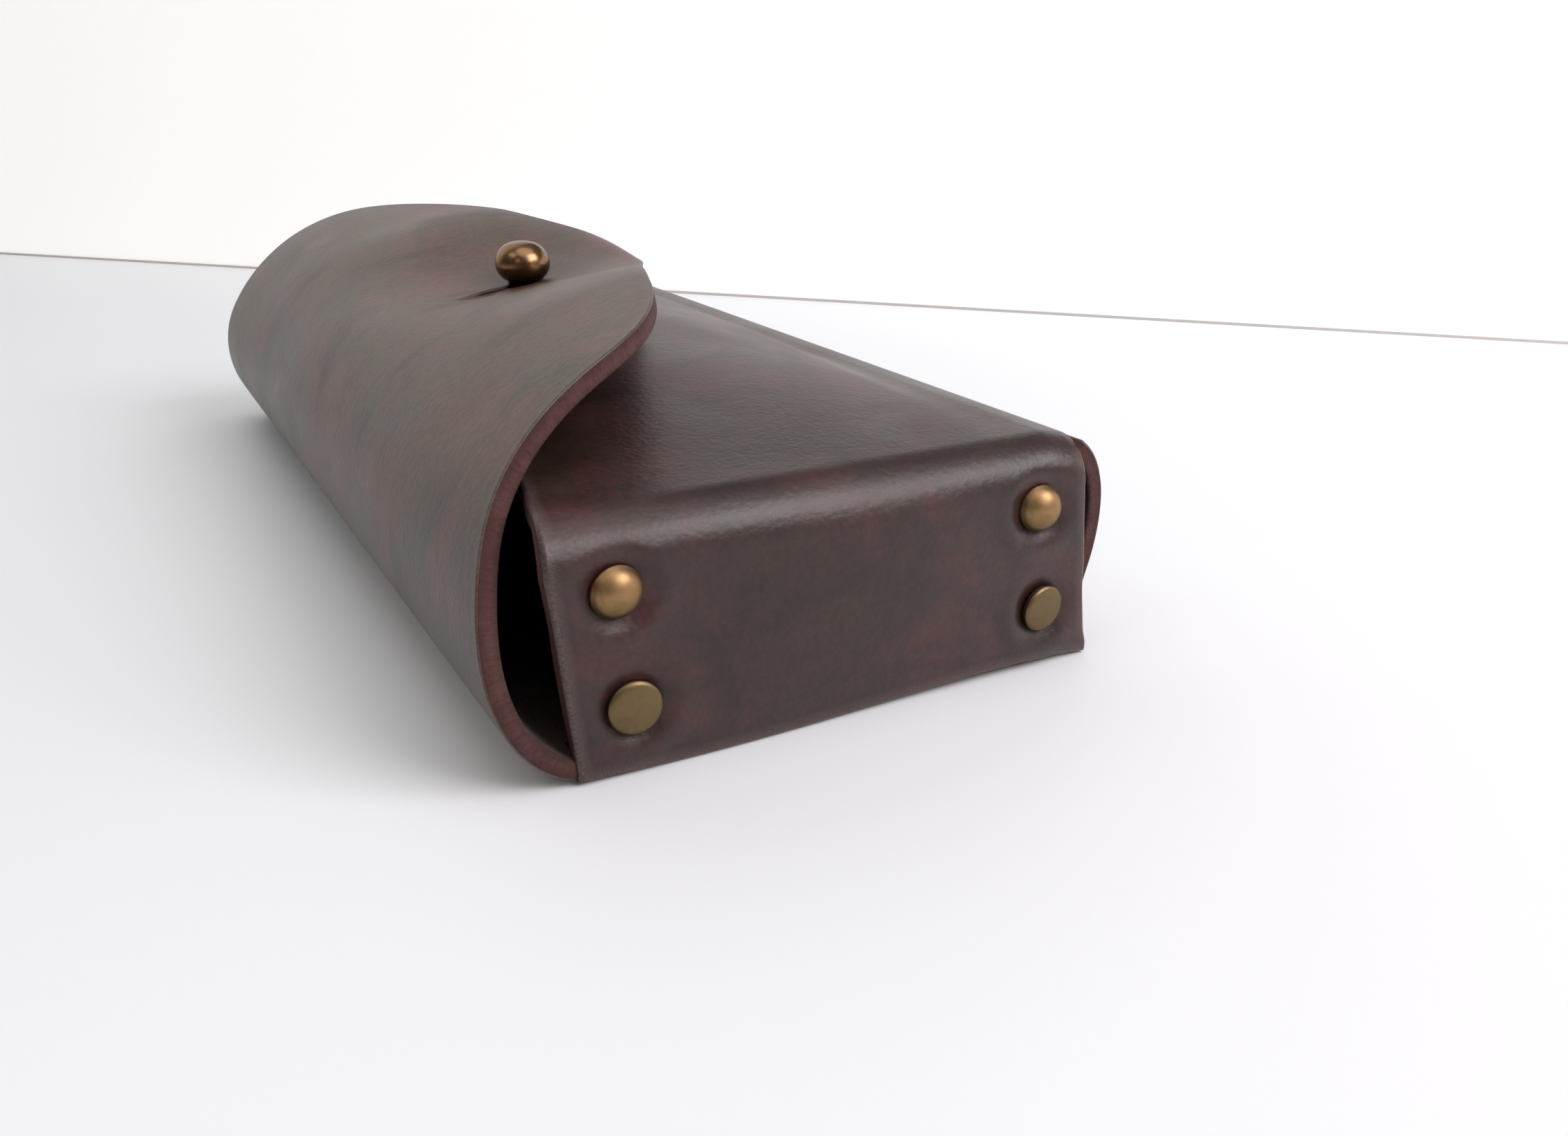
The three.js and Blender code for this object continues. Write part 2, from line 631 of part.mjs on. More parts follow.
add(shaped, 'leather_body', leatherBody(), 'leather');
[5, 4, 4, 4].forEach((stepsAlong, i) => {
  add(shaped, `flap_wrap_${i + 1}`, flapWrap(i, stepsAlong), 'flap');
});
add(shaped, 'flap_tongue', flapTongue(), 'flap');

for (const { name, side, level, x, z } of rivetPlaces) {
  const rivet = new THREE.Group();
  rivet.position.set(x, side * HALF_LENGTH, z);
  if (side < 0) rivet.rotation.z = Math.PI;
  shaped.add(rivet);
  add(rivet, `rivet_cap_${name}`, rivetCap(level), 'rivet');
  add(rivet, `rivet_back_${name}`, rivetBack(), 'back');
}

const stud = new THREE.Group();
stud.position.set(STUD_X, STUD_Y, 0);
shaped.add(stud);
add(stud, 'stud_head', studHead(), 'stud');
add(stud, 'stud_screw', studScrew(), 'back');

export default part;
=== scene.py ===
# Leather eyeglasses case: one hide forms the tray, spine, top panel and end walls, and a pointed
# flap wraps round from the underside and buttons over a stud on top.
# Lengths are in millimetres. X runs from the wrap to the spine and counts from the foot of the end
# wall, Y along the case (near end -Y, far end +Y), Z up from the underside. Meshes are made in
# metres, with X centred on X_MID. On the flap, s is the distance along the leather from its root.
import math
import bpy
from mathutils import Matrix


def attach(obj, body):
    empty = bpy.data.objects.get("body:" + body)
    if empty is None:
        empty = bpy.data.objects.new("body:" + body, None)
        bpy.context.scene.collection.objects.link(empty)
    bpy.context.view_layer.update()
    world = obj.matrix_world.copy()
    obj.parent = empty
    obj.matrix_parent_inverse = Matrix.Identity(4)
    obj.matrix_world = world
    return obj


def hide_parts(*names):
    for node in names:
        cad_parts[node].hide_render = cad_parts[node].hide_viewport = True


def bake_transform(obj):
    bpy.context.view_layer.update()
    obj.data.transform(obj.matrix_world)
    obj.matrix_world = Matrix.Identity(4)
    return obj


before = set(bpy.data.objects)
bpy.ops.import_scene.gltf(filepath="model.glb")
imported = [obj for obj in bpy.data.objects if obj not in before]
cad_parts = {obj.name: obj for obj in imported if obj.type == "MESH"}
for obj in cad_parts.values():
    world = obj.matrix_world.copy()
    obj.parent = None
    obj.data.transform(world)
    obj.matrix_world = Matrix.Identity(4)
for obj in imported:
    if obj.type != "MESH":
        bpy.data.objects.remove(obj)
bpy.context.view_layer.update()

from types import SimpleNamespace

import bpy
import numpy as np
from mathutils import Matrix, Vector
from mathutils.geometry import delaunay_2d_cdt
from mathutils.kdtree import KDTree

MM = 0.001

# ------------------------------------------------------------------ driving dimensions
LEATHER = 2.2                    # thickness of the hide
GAP = 0.3                        # between an end wall and the tab behind it
LENGTH = 167.4
WALL_WIDTH = 66.5
WALL_TOP = 28.1
LEAN = 0.11                      # how far the end walls' edges slope, per mm of height
FOLD_R = 5.4                     # fold from the panel down into an end wall
TAB_R = 2.7                      # fold from the underside up into a tab
TAB_HEIGHT = 22.6
HALF = LENGTH / 2
FLAT_HALF = HALF - FOLD_R
COLUMNS = np.linspace(-FLAT_HALF, FLAT_HALF, 97)   # y of the body's columns

# top panel
CROWN = 5.6
CROWN_X = 25.0
MOUTH_RISE = 0.42                # share of the crown left at the mouth
MOUTH_END = -1.2                 # x of the mouth's edge at the ends
MOUTH_MID = 0.8                  # and over the middle

# spine section: x, z
SPINE_TOP_X = 60.6
SPINE_BULGE = 0.6
SPINE_LINE = [
    [62.4, 0], [65.0, 0.75], [66.3, 3.0], [67.1, 8.0], [68.4, 13.0],
    [68.9, 17.5], [68.5, 21.5], [67.0, 25.0], [64.4, 27.3], [SPINE_TOP_X, WALL_TOP]]

# bottom edge of an end wall: distance along its foot, height
FOOT = np.array([
    [0, 0.35], [7, 0.12], [17, 0.0], [27, 0.05], [38, 0.35],
    [50, 0.8], [56, 0.75], [63, 0.5], [66.5, 0.05]])

# flap section; the curvatures are per mm, at equal steps of s
FLAP_START_X = 2.98
FLAP_LENGTH = 94.28
FLAP_CURVATURE = [0.11006, 0.05499, 0.03711, 0.03127, 0.0119, 0.03698, 0.07962]
ROOT_S = 2.0                     # where the flap's sheet meets the body's, on the underside
SPLITS = [5.0 + 7.0 * k for k in range(6)]   # s where the flap is cut into strips

# flap outline: s, half width; each side then has its own tip
OUTLINE = [
    [0, 83.4], [8.35, 83.35], [12.52, 83.21], [16.68, 82.74], [20.78, 81.98], [24.77, 80.75],
    [28.49, 78.86], [31.95, 76.52], [35.67, 74.63], [39.59, 73.18], [43.59, 71.95],
    [47.61, 70.83], [51.63, 69.68], [55.56, 68.27], [59.08, 66.05], [61.92, 62.99],
    [64.23, 59.51], [66.26, 55.86], [68.12, 52.12], [69.9, 48.34], [71.63, 44.53],
    [73.32, 40.71], [75.0, 36.88], [76.67, 33.05]]
TIP_AT = 90.4
TIP_FAR = [
    [78.34, 29.3], [80, 25.7], [82, 21.8], [84, 18.2], [86, 15.0], [88, 11.4], [89.3, 7.8],
    [90.1, 4.0], [TIP_AT, 0]]
TIP_NEAR = [
    [66.26, 55.86], [68, 52.0], [70, 46.2], [72, 40.6], [74, 35.4], [76, 30.4], [78, 25.9],
    [80, 21.5], [82, 17.1], [84, 12.7], [86, 8.7], [88, 5.2], [89.5, 2.8], [TIP_AT, 0]]
FLAP_HALF = 83.2                 # widest half width
EDGE_FROM = 3.9                  # s where the outline takes over from the root's shoulder

# rounding of the cut edges: outside corner, then flesh-side corner
RIM = 0.32
RIM_IN = 0.28
BODY_RIM = 0.55
BODY_RIM_IN = 0.32

# dish pressed into the flap's top, deepest along STUD_Y
DISH = 6.0
DISH_FROM, DISH_FULL = 36.5, 66.5
DISH_FADE, DISH_END = 72.2, 93.1
DISH_HALF_NEAR, DISH_HALF_FAR = 42.75, 36.0

# button stud, and the dip in the flap round it
STUD_AT = 68.6
STUD_Y = -3.4
DIP, DIP_R = 0.55, 5.5

# buttonhole, and the line (s, y) of the slit that runs from it
HOLE_R = 2.5
SLIT = np.array([
    [67.0, -3.9], [65.6, -4.3], [64.0, -5.2], [62.3, -6.7], [60.3, -8.4], [58.3, -10.0],
    [56.6, -10.9], [55.0, -11.5]])
LIP_REACH = 2.6
LIP_DOWN, LIP_UP = 0.45, 0.40

TIP_LIFT = 1.2                   # the far side of the tip stands up
WAVE = 0.16                      # slow waves of hand-worked leather

# rivets on the end walls: distance in from each side of the wall's foot, and heights
RIVET_LEFT = 7.0
RIVET_RIGHT = 6.8
RIVET_LOW = 7.6
RIVET_HIGH = 20.3
RIVET_R = 2.82


def smooth(t):
    t = np.clip(t, 0, 1)
    return t * t * (3 - 2 * t)


def lerp(a, b, t):
    return a + (b - a) * t


# ------------------------------------------------------------------ flap surface
def flap_profile():
    """The flap's section as rows of s, x, z and heading."""
    steps = 2400
    ds = FLAP_LENGTH / steps
    knots = np.linspace(0, FLAP_LENGTH, len(FLAP_CURVATURE))
    x, z, angle = FLAP_START_X, 0.0, math.pi
    out = []
    for i in range(steps + 1):
        out.append((i * ds, x, z, angle))
        middle = angle - np.interp(i * ds, knots, FLAP_CURVATURE) * ds / 2
        x += math.cos(middle) * ds
        z += math.sin(middle) * ds
        angle -= np.interp((i + 0.5) * ds, knots, FLAP_CURVATURE) * ds
    return np.array(out)


PROFILE = flap_profile()
X_MID = (PROFILE[:, 1].min() + max(x for x, z in SPINE_LINE) + SPINE_BULGE) / 2


def metres(x, y, z):
    return ((x - X_MID) * MM, y * MM, z * MM)


def profile_xz(s):
    return [np.interp(s, PROFILE[:, 0], PROFILE[:, k]) for k in (1, 2)]


def slit_side(s, y):
    """Distance to the slit's line, the side (+1 towards the near end) and the fraction along it."""
    best = np.full(np.shape(s), 1e9)
    side = np.zeros(np.shape(s))
    along = np.zeros(np.shape(s))
    length = 0
    for start, end in zip(SLIT[:-1], SLIT[1:]):
        d = end - start
        size = np.linalg.norm(d)
        from_s, from_y = s - start[0], y - start[1]
        t = np.clip((from_s * d[0] + from_y * d[1]) / size**2, 0, 1)
        distance = np.hypot(s - (start[0] + d[0] * t), y - (start[1] + d[1] * t))
        nearer = distance < best
        best = np.where(nearer, distance, best)
        side = np.where(nearer, np.sign(from_s * -d[1] + from_y * d[0]), side)
        along = np.where(nearer, length + t * size, along)
        length += size
    return best, side, along / length


def flap_point(s, y):
    x, z = profile_xz(s)
    # the dish grows along the flap and mostly dies away at the tip
    along = smooth((s - DISH_FROM) / (DISH_FULL - DISH_FROM))
    along = along * (1 - 0.85 * smooth((s - DISH_FADE) / (DISH_END - DISH_FADE)))
    half = np.where(y > STUD_Y, DISH_HALF_FAR, DISH_HALF_NEAR)
    across = np.cos(np.minimum(1, np.abs(y - STUD_Y) / half) * math.pi / 2) ** 2
    z = z - DISH * along * across
    # dip round the stud
    z = z - DIP * np.exp(-((np.hypot(s - STUD_AT, y - STUD_Y) / DIP_R) ** 2))
    # one lip of the slit stands higher than the other, most of all midway
    distance, side, t = slit_side(s, y)
    midway = np.sin(math.pi * np.clip(t * 0.98 + 0.02, 0, 1)) ** 0.7
    lip = np.exp(-((distance / LIP_REACH) ** 2)) * midway
    z = z + np.where(side > 0, -LIP_DOWN, LIP_UP) * lip * smooth(distance / 0.5)
    z = z + TIP_LIFT * smooth((y + 10) / 20) * smooth((s - 78) / 10)
    # two crossed waves, fading in away from the root
    crossed = np.sin(s / 9.0 + y / 23.0 + 0.6) * np.sin(y / 14.0 - s / 31.0)
    z = z + WAVE * crossed * smooth((s - 10) / 20)
    return np.stack([x, y * np.ones_like(x), z], -1)


def flap_normal(s, y):
    e = 0.08
    du = flap_point(np.minimum(FLAP_LENGTH, s + e), y) - flap_point(np.maximum(0, s - e), y)
    dv = flap_point(s, y + e) - flap_point(s, y - e)
    normal = np.cross(du, dv)
    return normal / np.linalg.norm(normal, axis=-1, keepdims=True)


# ------------------------------------------------------------------ body section
def swell(y):
    """How much of the full bulge is left at y: 1 in the middle, 0 at the folds."""
    return np.maximum(0, 1 - (y / FLAT_HALF) ** 2) ** 1.25


def panel_rise(x):
    to_crown = np.clip((x - MOUTH_MID) / (CROWN_X - MOUTH_MID), 0, 1)
    mouth_side = CROWN * lerp(MOUTH_RISE, 1, np.sin((math.pi / 2) * to_crown))
    past_crown = np.maximum(x - CROWN_X, 0) / (SPINE_TOP_X - CROWN_X)
    return np.where(x < CROWN_X, mouth_side, CROWN * np.maximum(0, 1 - past_crown**2))


def mouth_edge(y):
    return lerp(MOUTH_END, MOUTH_MID, smooth((HALF - np.abs(y) - 3.8) / 11.5))


def spline(points, count):
    """Centripetal Catmull-Rom through 2D points, resampled at equal steps."""
    p = np.array(points, float)
    p = np.vstack([2 * p[0] - p[1], p, 2 * p[-1] - p[-2]])
    out = []
    for i in range(1, len(p) - 2):
        t = [0.0]
        for k in range(3):
            t.append(t[-1] + np.linalg.norm(p[i + k] - p[i + k - 1]) ** 0.5)

        def blend(first, last, a, b, u):
            return (t[last] - u) / (t[last] - t[first]) * a + (u - t[first]) / (t[last] - t[first]) * b

        for u in np.linspace(t[1], t[2], 24, endpoint=False):
            a = [blend(k, k + 1, p[i - 1 + k], p[i + k], u) for k in range(3)]
            b = [blend(k, k + 2, a[k], a[k + 1], u) for k in range(2)]
            out.append(blend(1, 2, b[0], b[1], u))
    out.append(p[-2])
    out = np.array(out)
    run = np.concatenate([[0], np.cumsum(np.linalg.norm(np.diff(out, axis=0), axis=1))])
    at = np.linspace(0, run[-1], count)
    return np.stack([np.interp(at, run, out[:, k]) for k in range(2)], -1)


# ------------------------------------------------------------------ thick sheets
def link(name, data):
    obj = bpy.data.objects.new(name, data)
    bpy.context.scene.collection.objects.link(obj)
    return obj


def point_tree(points):
    tree = KDTree(len(points))
    for i, p in enumerate(points):
        tree.insert(Vector(p), i)
    tree.balance()
    return tree


def unit_rows(v, tiny=0.0):
    return v / (np.linalg.norm(v, axis=1, keepdims=True) + tiny)


def thick_sheet(points, normals, faces, grain, rim_out, rim_in, is_seam):
    """A closed leather sheet from its outside surface, its cut edges rounded by rim_out and rim_in.

    Each face has a material number (0 grain side, 1 cut edge, 2 flesh side) and its source face.
    Edges for which is_seam holds get no rim. edge_d is each vertex's distance from the cut edge."""
    n = len(points)
    edges = {}
    for f, face in enumerate(faces):
        for a, b in zip(face, face[1:] + face[:1]):
            if (b, a) in edges:
                del edges[(b, a)]
            else:
                edges[(a, b)] = f
    border = [(a, b, f) for (a, b), f in edges.items() if not is_seam(a, b)]
    outward = {}
    for a, b, f in border:
        m = np.cross(points[b] - points[a], (normals[a] + normals[b]) / 2)
        m = m / (np.linalg.norm(m) + 1e-12)
        for v in (a, b):
            outward.setdefault(v, []).append(m)

    verts = [points, points - normals * LEATHER]
    norms = [normals, -normals]
    coord = [np.column_stack([grain, np.full(n, depth)]) for depth in (0.0, LEATHER)]
    kinds, all_faces, source = [], [], []
    for f, face in enumerate(faces):
        all_faces += [face, tuple(v + n for v in reversed(face))]
        kinds += [0, 2]
        source += [f, f]

    # rim rows: distance out, depth, angle of the normal from the outside's
    rows = []
    for q in (math.radians(v) for v in (22, 45, 68, 90)):
        rows.append((rim_out * math.sin(q), rim_out * (1 - math.cos(q)), q))
    rows.append((rim_out, LEATHER * 0.5, math.pi / 2))
    for q in (math.radians(v) for v in (0, 35, 65)):
        depth = LEATHER - rim_in + rim_in * math.sin(q)
        rows.append((rim_out * math.cos(q), depth, math.pi / 2 + q))
    index = {v: i for i, v in enumerate(outward)}
    ids = list(index)
    base = points[ids]
    up = normals[ids]
    mitre = []
    for v in ids:
        q = np.sum(outward[v], axis=0)
        size = np.linalg.norm(q) / len(outward[v])
        mitre.append(q / (np.linalg.norm(q) + 1e-12) / max(size, 0.75))
    mitre = np.array(mitre)
    out = unit_rows(mitre)
    for off, depth, q in rows:
        verts.append(base + mitre * off - up * depth)
        norms.append(unit_rows(up * math.cos(q) + out * math.sin(q)))
        coord.append(np.column_stack([grain[ids], np.full(len(ids), depth)]))
    for a, b, f in border:
        line_a, line_b = (
            [v] + [2 * n + r * len(ids) + index[v] for r in range(len(rows))] + [v + n]
            for v in (a, b))
        for r in range(len(line_a) - 1):
            all_faces.append((line_a[r], line_a[r + 1], line_b[r + 1], line_b[r]))
            kinds.append(0 if r < 3 else 1)
            source.append(f)

    vertices = np.vstack(verts)
    tree = point_tree(base)
    edge_d = np.zeros(len(vertices))
    edge_d[:2 * n] = np.tile([min(20.0, tree.find(Vector(p))[2]) for p in points], 2)
    return SimpleNamespace(vertices=vertices, normals=np.vstack(norms), faces=all_faces, kinds=kinds,
                           source=source, coord=np.vstack(coord), edge_d=edge_d)


def sheet_mesh(name, sheet, picked, materials):
    """An object from the picked faces of a thick sheet."""
    faces = [sheet.faces[i] for i in picked]
    used = sorted({v for f in faces for v in f})
    remap = {v: i for i, v in enumerate(used)}
    mesh = bpy.data.meshes.new(name)
    v = sheet.vertices[used]
    v[:, 0] -= X_MID
    mesh.from_pydata((v * MM).tolist(), [], [tuple(remap[i] for i in f) for f in faces])
    for m in materials:
        mesh.materials.append(m)
    kinds = np.array([sheet.kinds[i] for i in picked], dtype=np.int32)
    mesh.polygons.foreach_set("material_index", kinds)
    mesh.polygons.foreach_set("use_smooth", np.ones(len(faces), dtype=bool))
    a = mesh.attributes.new("grain_co", "FLOAT_VECTOR", "POINT")
    a.data.foreach_set("vector", sheet.coord[used].astype(np.float32).ravel())
    a = mesh.attributes.new("edge_d", "FLOAT", "POINT")
    a.data.foreach_set("value", sheet.edge_d[used].astype(np.float32))
    mesh.update()
    mesh.normals_split_custom_set_from_vertices([tuple(k) for k in sheet.normals[used]])
    return link(name, mesh)


# ------------------------------------------------------------------ materials
class Nodes:
    """A short way to write the node tree of a material or world."""

    def __init__(self, owner):
        owner.use_nodes = True
        self.owner, self.tree = owner, owner.node_tree
        self.tree.nodes.clear()

    def add(self, kind, inputs, **settings):
        """A new node; inputs maps sockets to values or to other nodes' outputs."""
        node = self.tree.nodes.new(kind)
        for key, value in settings.items():
            setattr(node, key, value)
        for socket, value in inputs.items():
            if hasattr(value, "is_output"):
                self.tree.links.new(value, node.inputs[socket])
            else:
                node.inputs[socket].default_value = value
        return node

    def math(self, operation, a, b):
        return self.add("ShaderNodeMath", {0: a, 1: b}, operation=operation).outputs[0]

    def ramp(self, fac, stops):
        node = self.add("ShaderNodeValToRGB", {"Fac": fac})
        elements = node.color_ramp.elements
        while len(elements) < len(stops):
            elements.new(0.5)
        for element, (at, colour) in zip(elements, stops):
            element.position = at
            element.color = (*colour, 1)
        return node.outputs["Color"]

    def remap(self, value, span=(0.0, 1.0), to=(0.0, 1.0)):
        inputs = {"Value": value, "From Min": span[0], "From Max": span[1],
                  "To Min": to[0], "To Max": to[1]}
        return self.add("ShaderNodeMapRange", inputs, clamp=True).outputs["Result"]

    def mix(self, fac, a, b):
        a, b = (c if hasattr(c, "is_output") else (*c, 1) for c in (a, b))
        return self.add("ShaderNodeMix", {0: fac, 6: a, 7: b}, data_type="RGBA").outputs[2]

    def tint(self, colour, other, mask, span, to):
        """Mix in another colour by a mask remapped from span to the amounts in to."""
        return self.mix(self.remap(mask, span, to), colour, other)

    def noise(self, vector, scale, detail=2.0, rough=0.5, distortion=0.0):
        inputs = {"Vector": vector, "Scale": scale, "Detail": detail, "Roughness": rough,
                  "Distortion": distortion}
        return self.add("ShaderNodeTexNoise", inputs).outputs["Fac"]

    def cells(self, vector, scale, smoothness):
        inputs = {"Vector": vector, "Scale": scale, "Smoothness": smoothness}
        node = self.add("ShaderNodeTexVoronoi", {}, feature="SMOOTH_F1")
        for socket, value in inputs.items():
            if hasattr(value, "is_output"):
                self.tree.links.new(value, node.inputs[socket])
            else:
                node.inputs[socket].default_value = value
        return node.outputs["Distance"]

    def stretch(self, vector, *scale):
        return self.add("ShaderNodeMapping", {"Vector": vector, "Scale": scale}).outputs["Vector"]

    def bump(self, height, distance, strength, **normal):
        inputs = {"Height": height, "Distance": distance, "Strength": strength, **normal}
        return self.add("ShaderNodeBump", inputs).outputs["Normal"]

    def attribute(self, name, output):
        node = self.add("ShaderNodeAttribute", {}, attribute_type="GEOMETRY", attribute_name=name)
        return node.outputs[output]

    def place(self, output):
        return self.add("ShaderNodeTexCoord", {}).outputs[output]

    def z_of(self, vector):
        return self.add("ShaderNodeSeparateXYZ", {0: vector}).outputs[2]

    def principled(self, **values):
        inputs = {socket.replace("_", " "): value for socket, value in values.items()}
        shader = self.add("ShaderNodeBsdfPrincipled", inputs)
        self.add("ShaderNodeOutputMaterial", {"Surface": shader.outputs[0]})
        return self.owner


def shade(colour, factor):
    return tuple(factor * c for c in colour)


def leather_grain(name, dark, mid, light, red, olive, rough, mottle, sheen_blue):
    """Dyed grain side: five colours (the dye, with each part's painted light and shade in it), base
    roughness, patchiness, blue in the sheen.
    """
    n = Nodes(bpy.data.materials.new(name))
    co = n.attribute("grain_co", "Vector")
    edge = n.attribute("edge_d", "Fac")
    cloud = n.noise(co, scale=0.050, detail=4.0, rough=0.60, distortion=0.45)
    colour = n.ramp(cloud, [(0.32, dark), (0.50, mid), (0.68, light)])
    # reddish and olive patches, as the dye took unevenly
    hue = n.noise(n.stretch(co, 1.0, 0.6, 1.0), scale=0.095, detail=3.0, rough=0.55, distortion=0.8)
    colour = n.tint(colour, red, hue, span=(0.50, 0.63), to=(0.0, 0.85 * mottle))
    colour = n.tint(colour, olive, hue, span=(0.34, 0.48), to=(0.70 * mottle, 0.0))
    # darker bruises, and pull-up streaks along the case
    bruise = n.noise(n.stretch(co, 0.5, 1.0, 1.0), scale=0.085, detail=4.0, rough=0.6, distortion=0.6)
    colour = n.tint(colour, dark, bruise, span=(0.53, 0.64), to=(0.0, 0.9 * mottle))
    streak = n.noise(n.stretch(co, 0.35, 0.05, 1.0), scale=1.0, detail=3.0, rough=0.6, distortion=0.3)
    colour = n.tint(colour, light, streak, span=(0.55, 0.78), to=(0.0, 0.30 * mottle))
    # pores and handling marks
    pores = n.cells(co, scale=1.45, smoothness=0.35)
    fine = n.noise(co, scale=5.2, detail=4.0, rough=0.65)
    colour = n.tint(colour, shade(dark, 0.4), pores, span=(0.35, 0.75), to=(0.0, 0.26))
    scuff = n.noise(n.stretch(co, 0.9, 0.25, 1.0), scale=1.6, detail=5.0, rough=0.72)
    colour = n.tint(colour, shade(light, 1.6), scuff, span=(0.66, 0.80), to=(0.0, 0.18))
    # burnished and rubbed towards the cut edges
    colour = n.tint(colour, shade(dark, 0.7), edge, span=(0.5, 1.8), to=(0.35, 0.0))
    rub = n.math("MULTIPLY", n.remap(edge, span=(0.0, 1.2), to=(1.0, 0.0)),
                 n.remap(fine, span=(0.42, 0.6), to=(0.3, 1.0)))
    colour = n.mix(n.math("MULTIPLY", rub, 0.45), colour, (0.16, 0.105, 0.095))
    wrinkle = n.noise(n.stretch(co, 0.5, 1.0, 1.0), scale=0.55, detail=5.0, rough=0.62,
                      distortion=0.9)
    roughness = n.math("ADD", n.remap(cloud, span=(0.3, 0.7), to=(rough - 0.06, rough + 0.07)),
                       n.remap(fine, span=(0.3, 0.7), to=(-0.04, 0.05)))
    height = n.math("ADD", n.math("MULTIPLY", pores, -0.8), n.math("MULTIPLY", fine, 0.45))
    normal = n.bump(wrinkle, distance=0.00016, strength=0.4)
    normal = n.bump(height, distance=0.000055, strength=0.75, Normal=normal)
    return n.principled(Base_Color=colour, Roughness=roughness, Normal=normal,
                        Specular_IOR_Level=0.46, Specular_Tint=(0.97, 1.0, sheen_blue, 1.0),
                        Coat_Weight=0.16, Coat_Roughness=0.30)


def leather_cut_edge(name):
    n = Nodes(bpy.data.materials.new(name))
    co = n.attribute("grain_co", "Vector")
    depth = n.math("DIVIDE", n.z_of(co), LEATHER)
    fibre = n.noise(n.stretch(co, 1.0, 1.0, 0.35), scale=2.6, detail=5.0, rough=0.7, distortion=0.3)
    blot = n.noise(co, scale=0.35, detail=3.0, rough=0.6)
    # from the grain side through the thickness to the flesh side
    colour = n.ramp(depth, [
        (0.0, (0.036, 0.016, 0.015)), (0.25, (0.064, 0.024, 0.021)), (0.62, (0.092, 0.036, 0.031)),
        (0.9, (0.062, 0.028, 0.024)), (1.0, (0.045, 0.023, 0.019))])
    colour = n.tint(colour, (0.045, 0.017, 0.016), fibre, span=(0.48, 0.72), to=(0.0, 0.75))
    colour = n.tint(colour, (0.118, 0.054, 0.046), blot, span=(0.5, 0.75), to=(0.0, 0.5))
    fuzz = n.noise(n.stretch(co, 1.0, 1.0, 0.7), scale=7.0, detail=4.0, rough=0.7)
    normal = n.bump(fibre, distance=0.00022, strength=0.9)
    normal = n.bump(fuzz, distance=0.00008, strength=0.8, Normal=normal)
    roughness = n.remap(fibre, span=(0.3, 0.7), to=(0.62, 0.85))
    return n.principled(Base_Color=colour, Roughness=roughness, Normal=normal,
                        Specular_IOR_Level=0.3)


def leather_flesh(name):
    n = Nodes(bpy.data.materials.new(name))
    co = n.attribute("grain_co", "Vector")
    nap = n.noise(n.stretch(co, 1.0, 0.55, 1.0), scale=1.9, detail=6.0, rough=0.72, distortion=0.4)
    cloud = n.noise(co, scale=0.07, detail=3.0, rough=0.6)
    colour = n.ramp(nap, [
        (0.32, (0.045, 0.026, 0.021)), (0.55, (0.080, 0.048, 0.038)), (0.75, (0.120, 0.076, 0.060))])
    colour = n.tint(colour, (0.055, 0.033, 0.028), cloud, span=(0.4, 0.7), to=(0.0, 0.4))
    normal = n.bump(nap, distance=0.00018, strength=0.9)
    return n.principled(Base_Color=colour, Roughness=0.92, Normal=normal, Specular_IOR_Level=0.15,
                        Sheen_Weight=0.05, Sheen_Roughness=0.6)


def aged_metal(name, bright, worn, patina_and_shade, rough, seed):
    """Three colours, base roughness, and an offset that moves the pattern."""
    n = Nodes(bpy.data.materials.new(name))
    co = n.stretch(n.place("Object"), 1000, 1000, 1000)
    offset = (seed, seed * 0.7, seed * 1.3)
    co = n.add("ShaderNodeVectorMath", {0: co, 1: offset}, operation="ADD").outputs[0]
    blot = n.noise(co, scale=0.55, detail=4.0, rough=0.6, distortion=0.4)
    speck = n.noise(co, scale=3.4, detail=5.0, rough=0.7)
    scratch = n.noise(n.stretch(co, 6.0, 0.6, 2.0), scale=1.2, detail=3.0, rough=0.6)
    between = tuple((a + b) / 2 for a, b in zip(worn, bright))
    colour = n.ramp(blot, [(0.25, worn), (0.50, bright), (0.75, between)])
    colour = n.tint(colour, patina_and_shade, speck, span=(0.58, 0.76), to=(0.0, 0.30))
    colour = n.tint(colour, bright, scratch, span=(0.62, 0.76), to=(0.0, 0.20))
    # painted shade: darker towards the rims, where the surface turns away from the view
    facing = n.add("ShaderNodeLayerWeight", {"Blend": 0.35}).outputs["Facing"]
    colour = n.tint(colour, patina_and_shade, facing, span=(0.35, 0.95), to=(0.0, 0.55))
    # painted shade: darker where it faces down
    down = n.z_of(n.add("ShaderNodeNewGeometry", {}).outputs["Normal"])
    colour = n.tint(colour, patina_and_shade, down, span=(-0.65, 0.05), to=(0.75, 0.0))
    roughness = n.math("ADD", n.remap(blot, span=(0.3, 0.7), to=(rough + 0.05, rough - 0.03)),
                       n.remap(speck, span=(0.35, 0.7), to=(-0.02, 0.05)))
    normal = n.bump(speck, distance=0.00001, strength=0.4)
    normal = n.bump(blot, distance=0.00005, strength=0.25, Normal=normal)
    return n.principled(Base_Color=colour, Metallic=1.0, Roughness=roughness, Normal=normal)
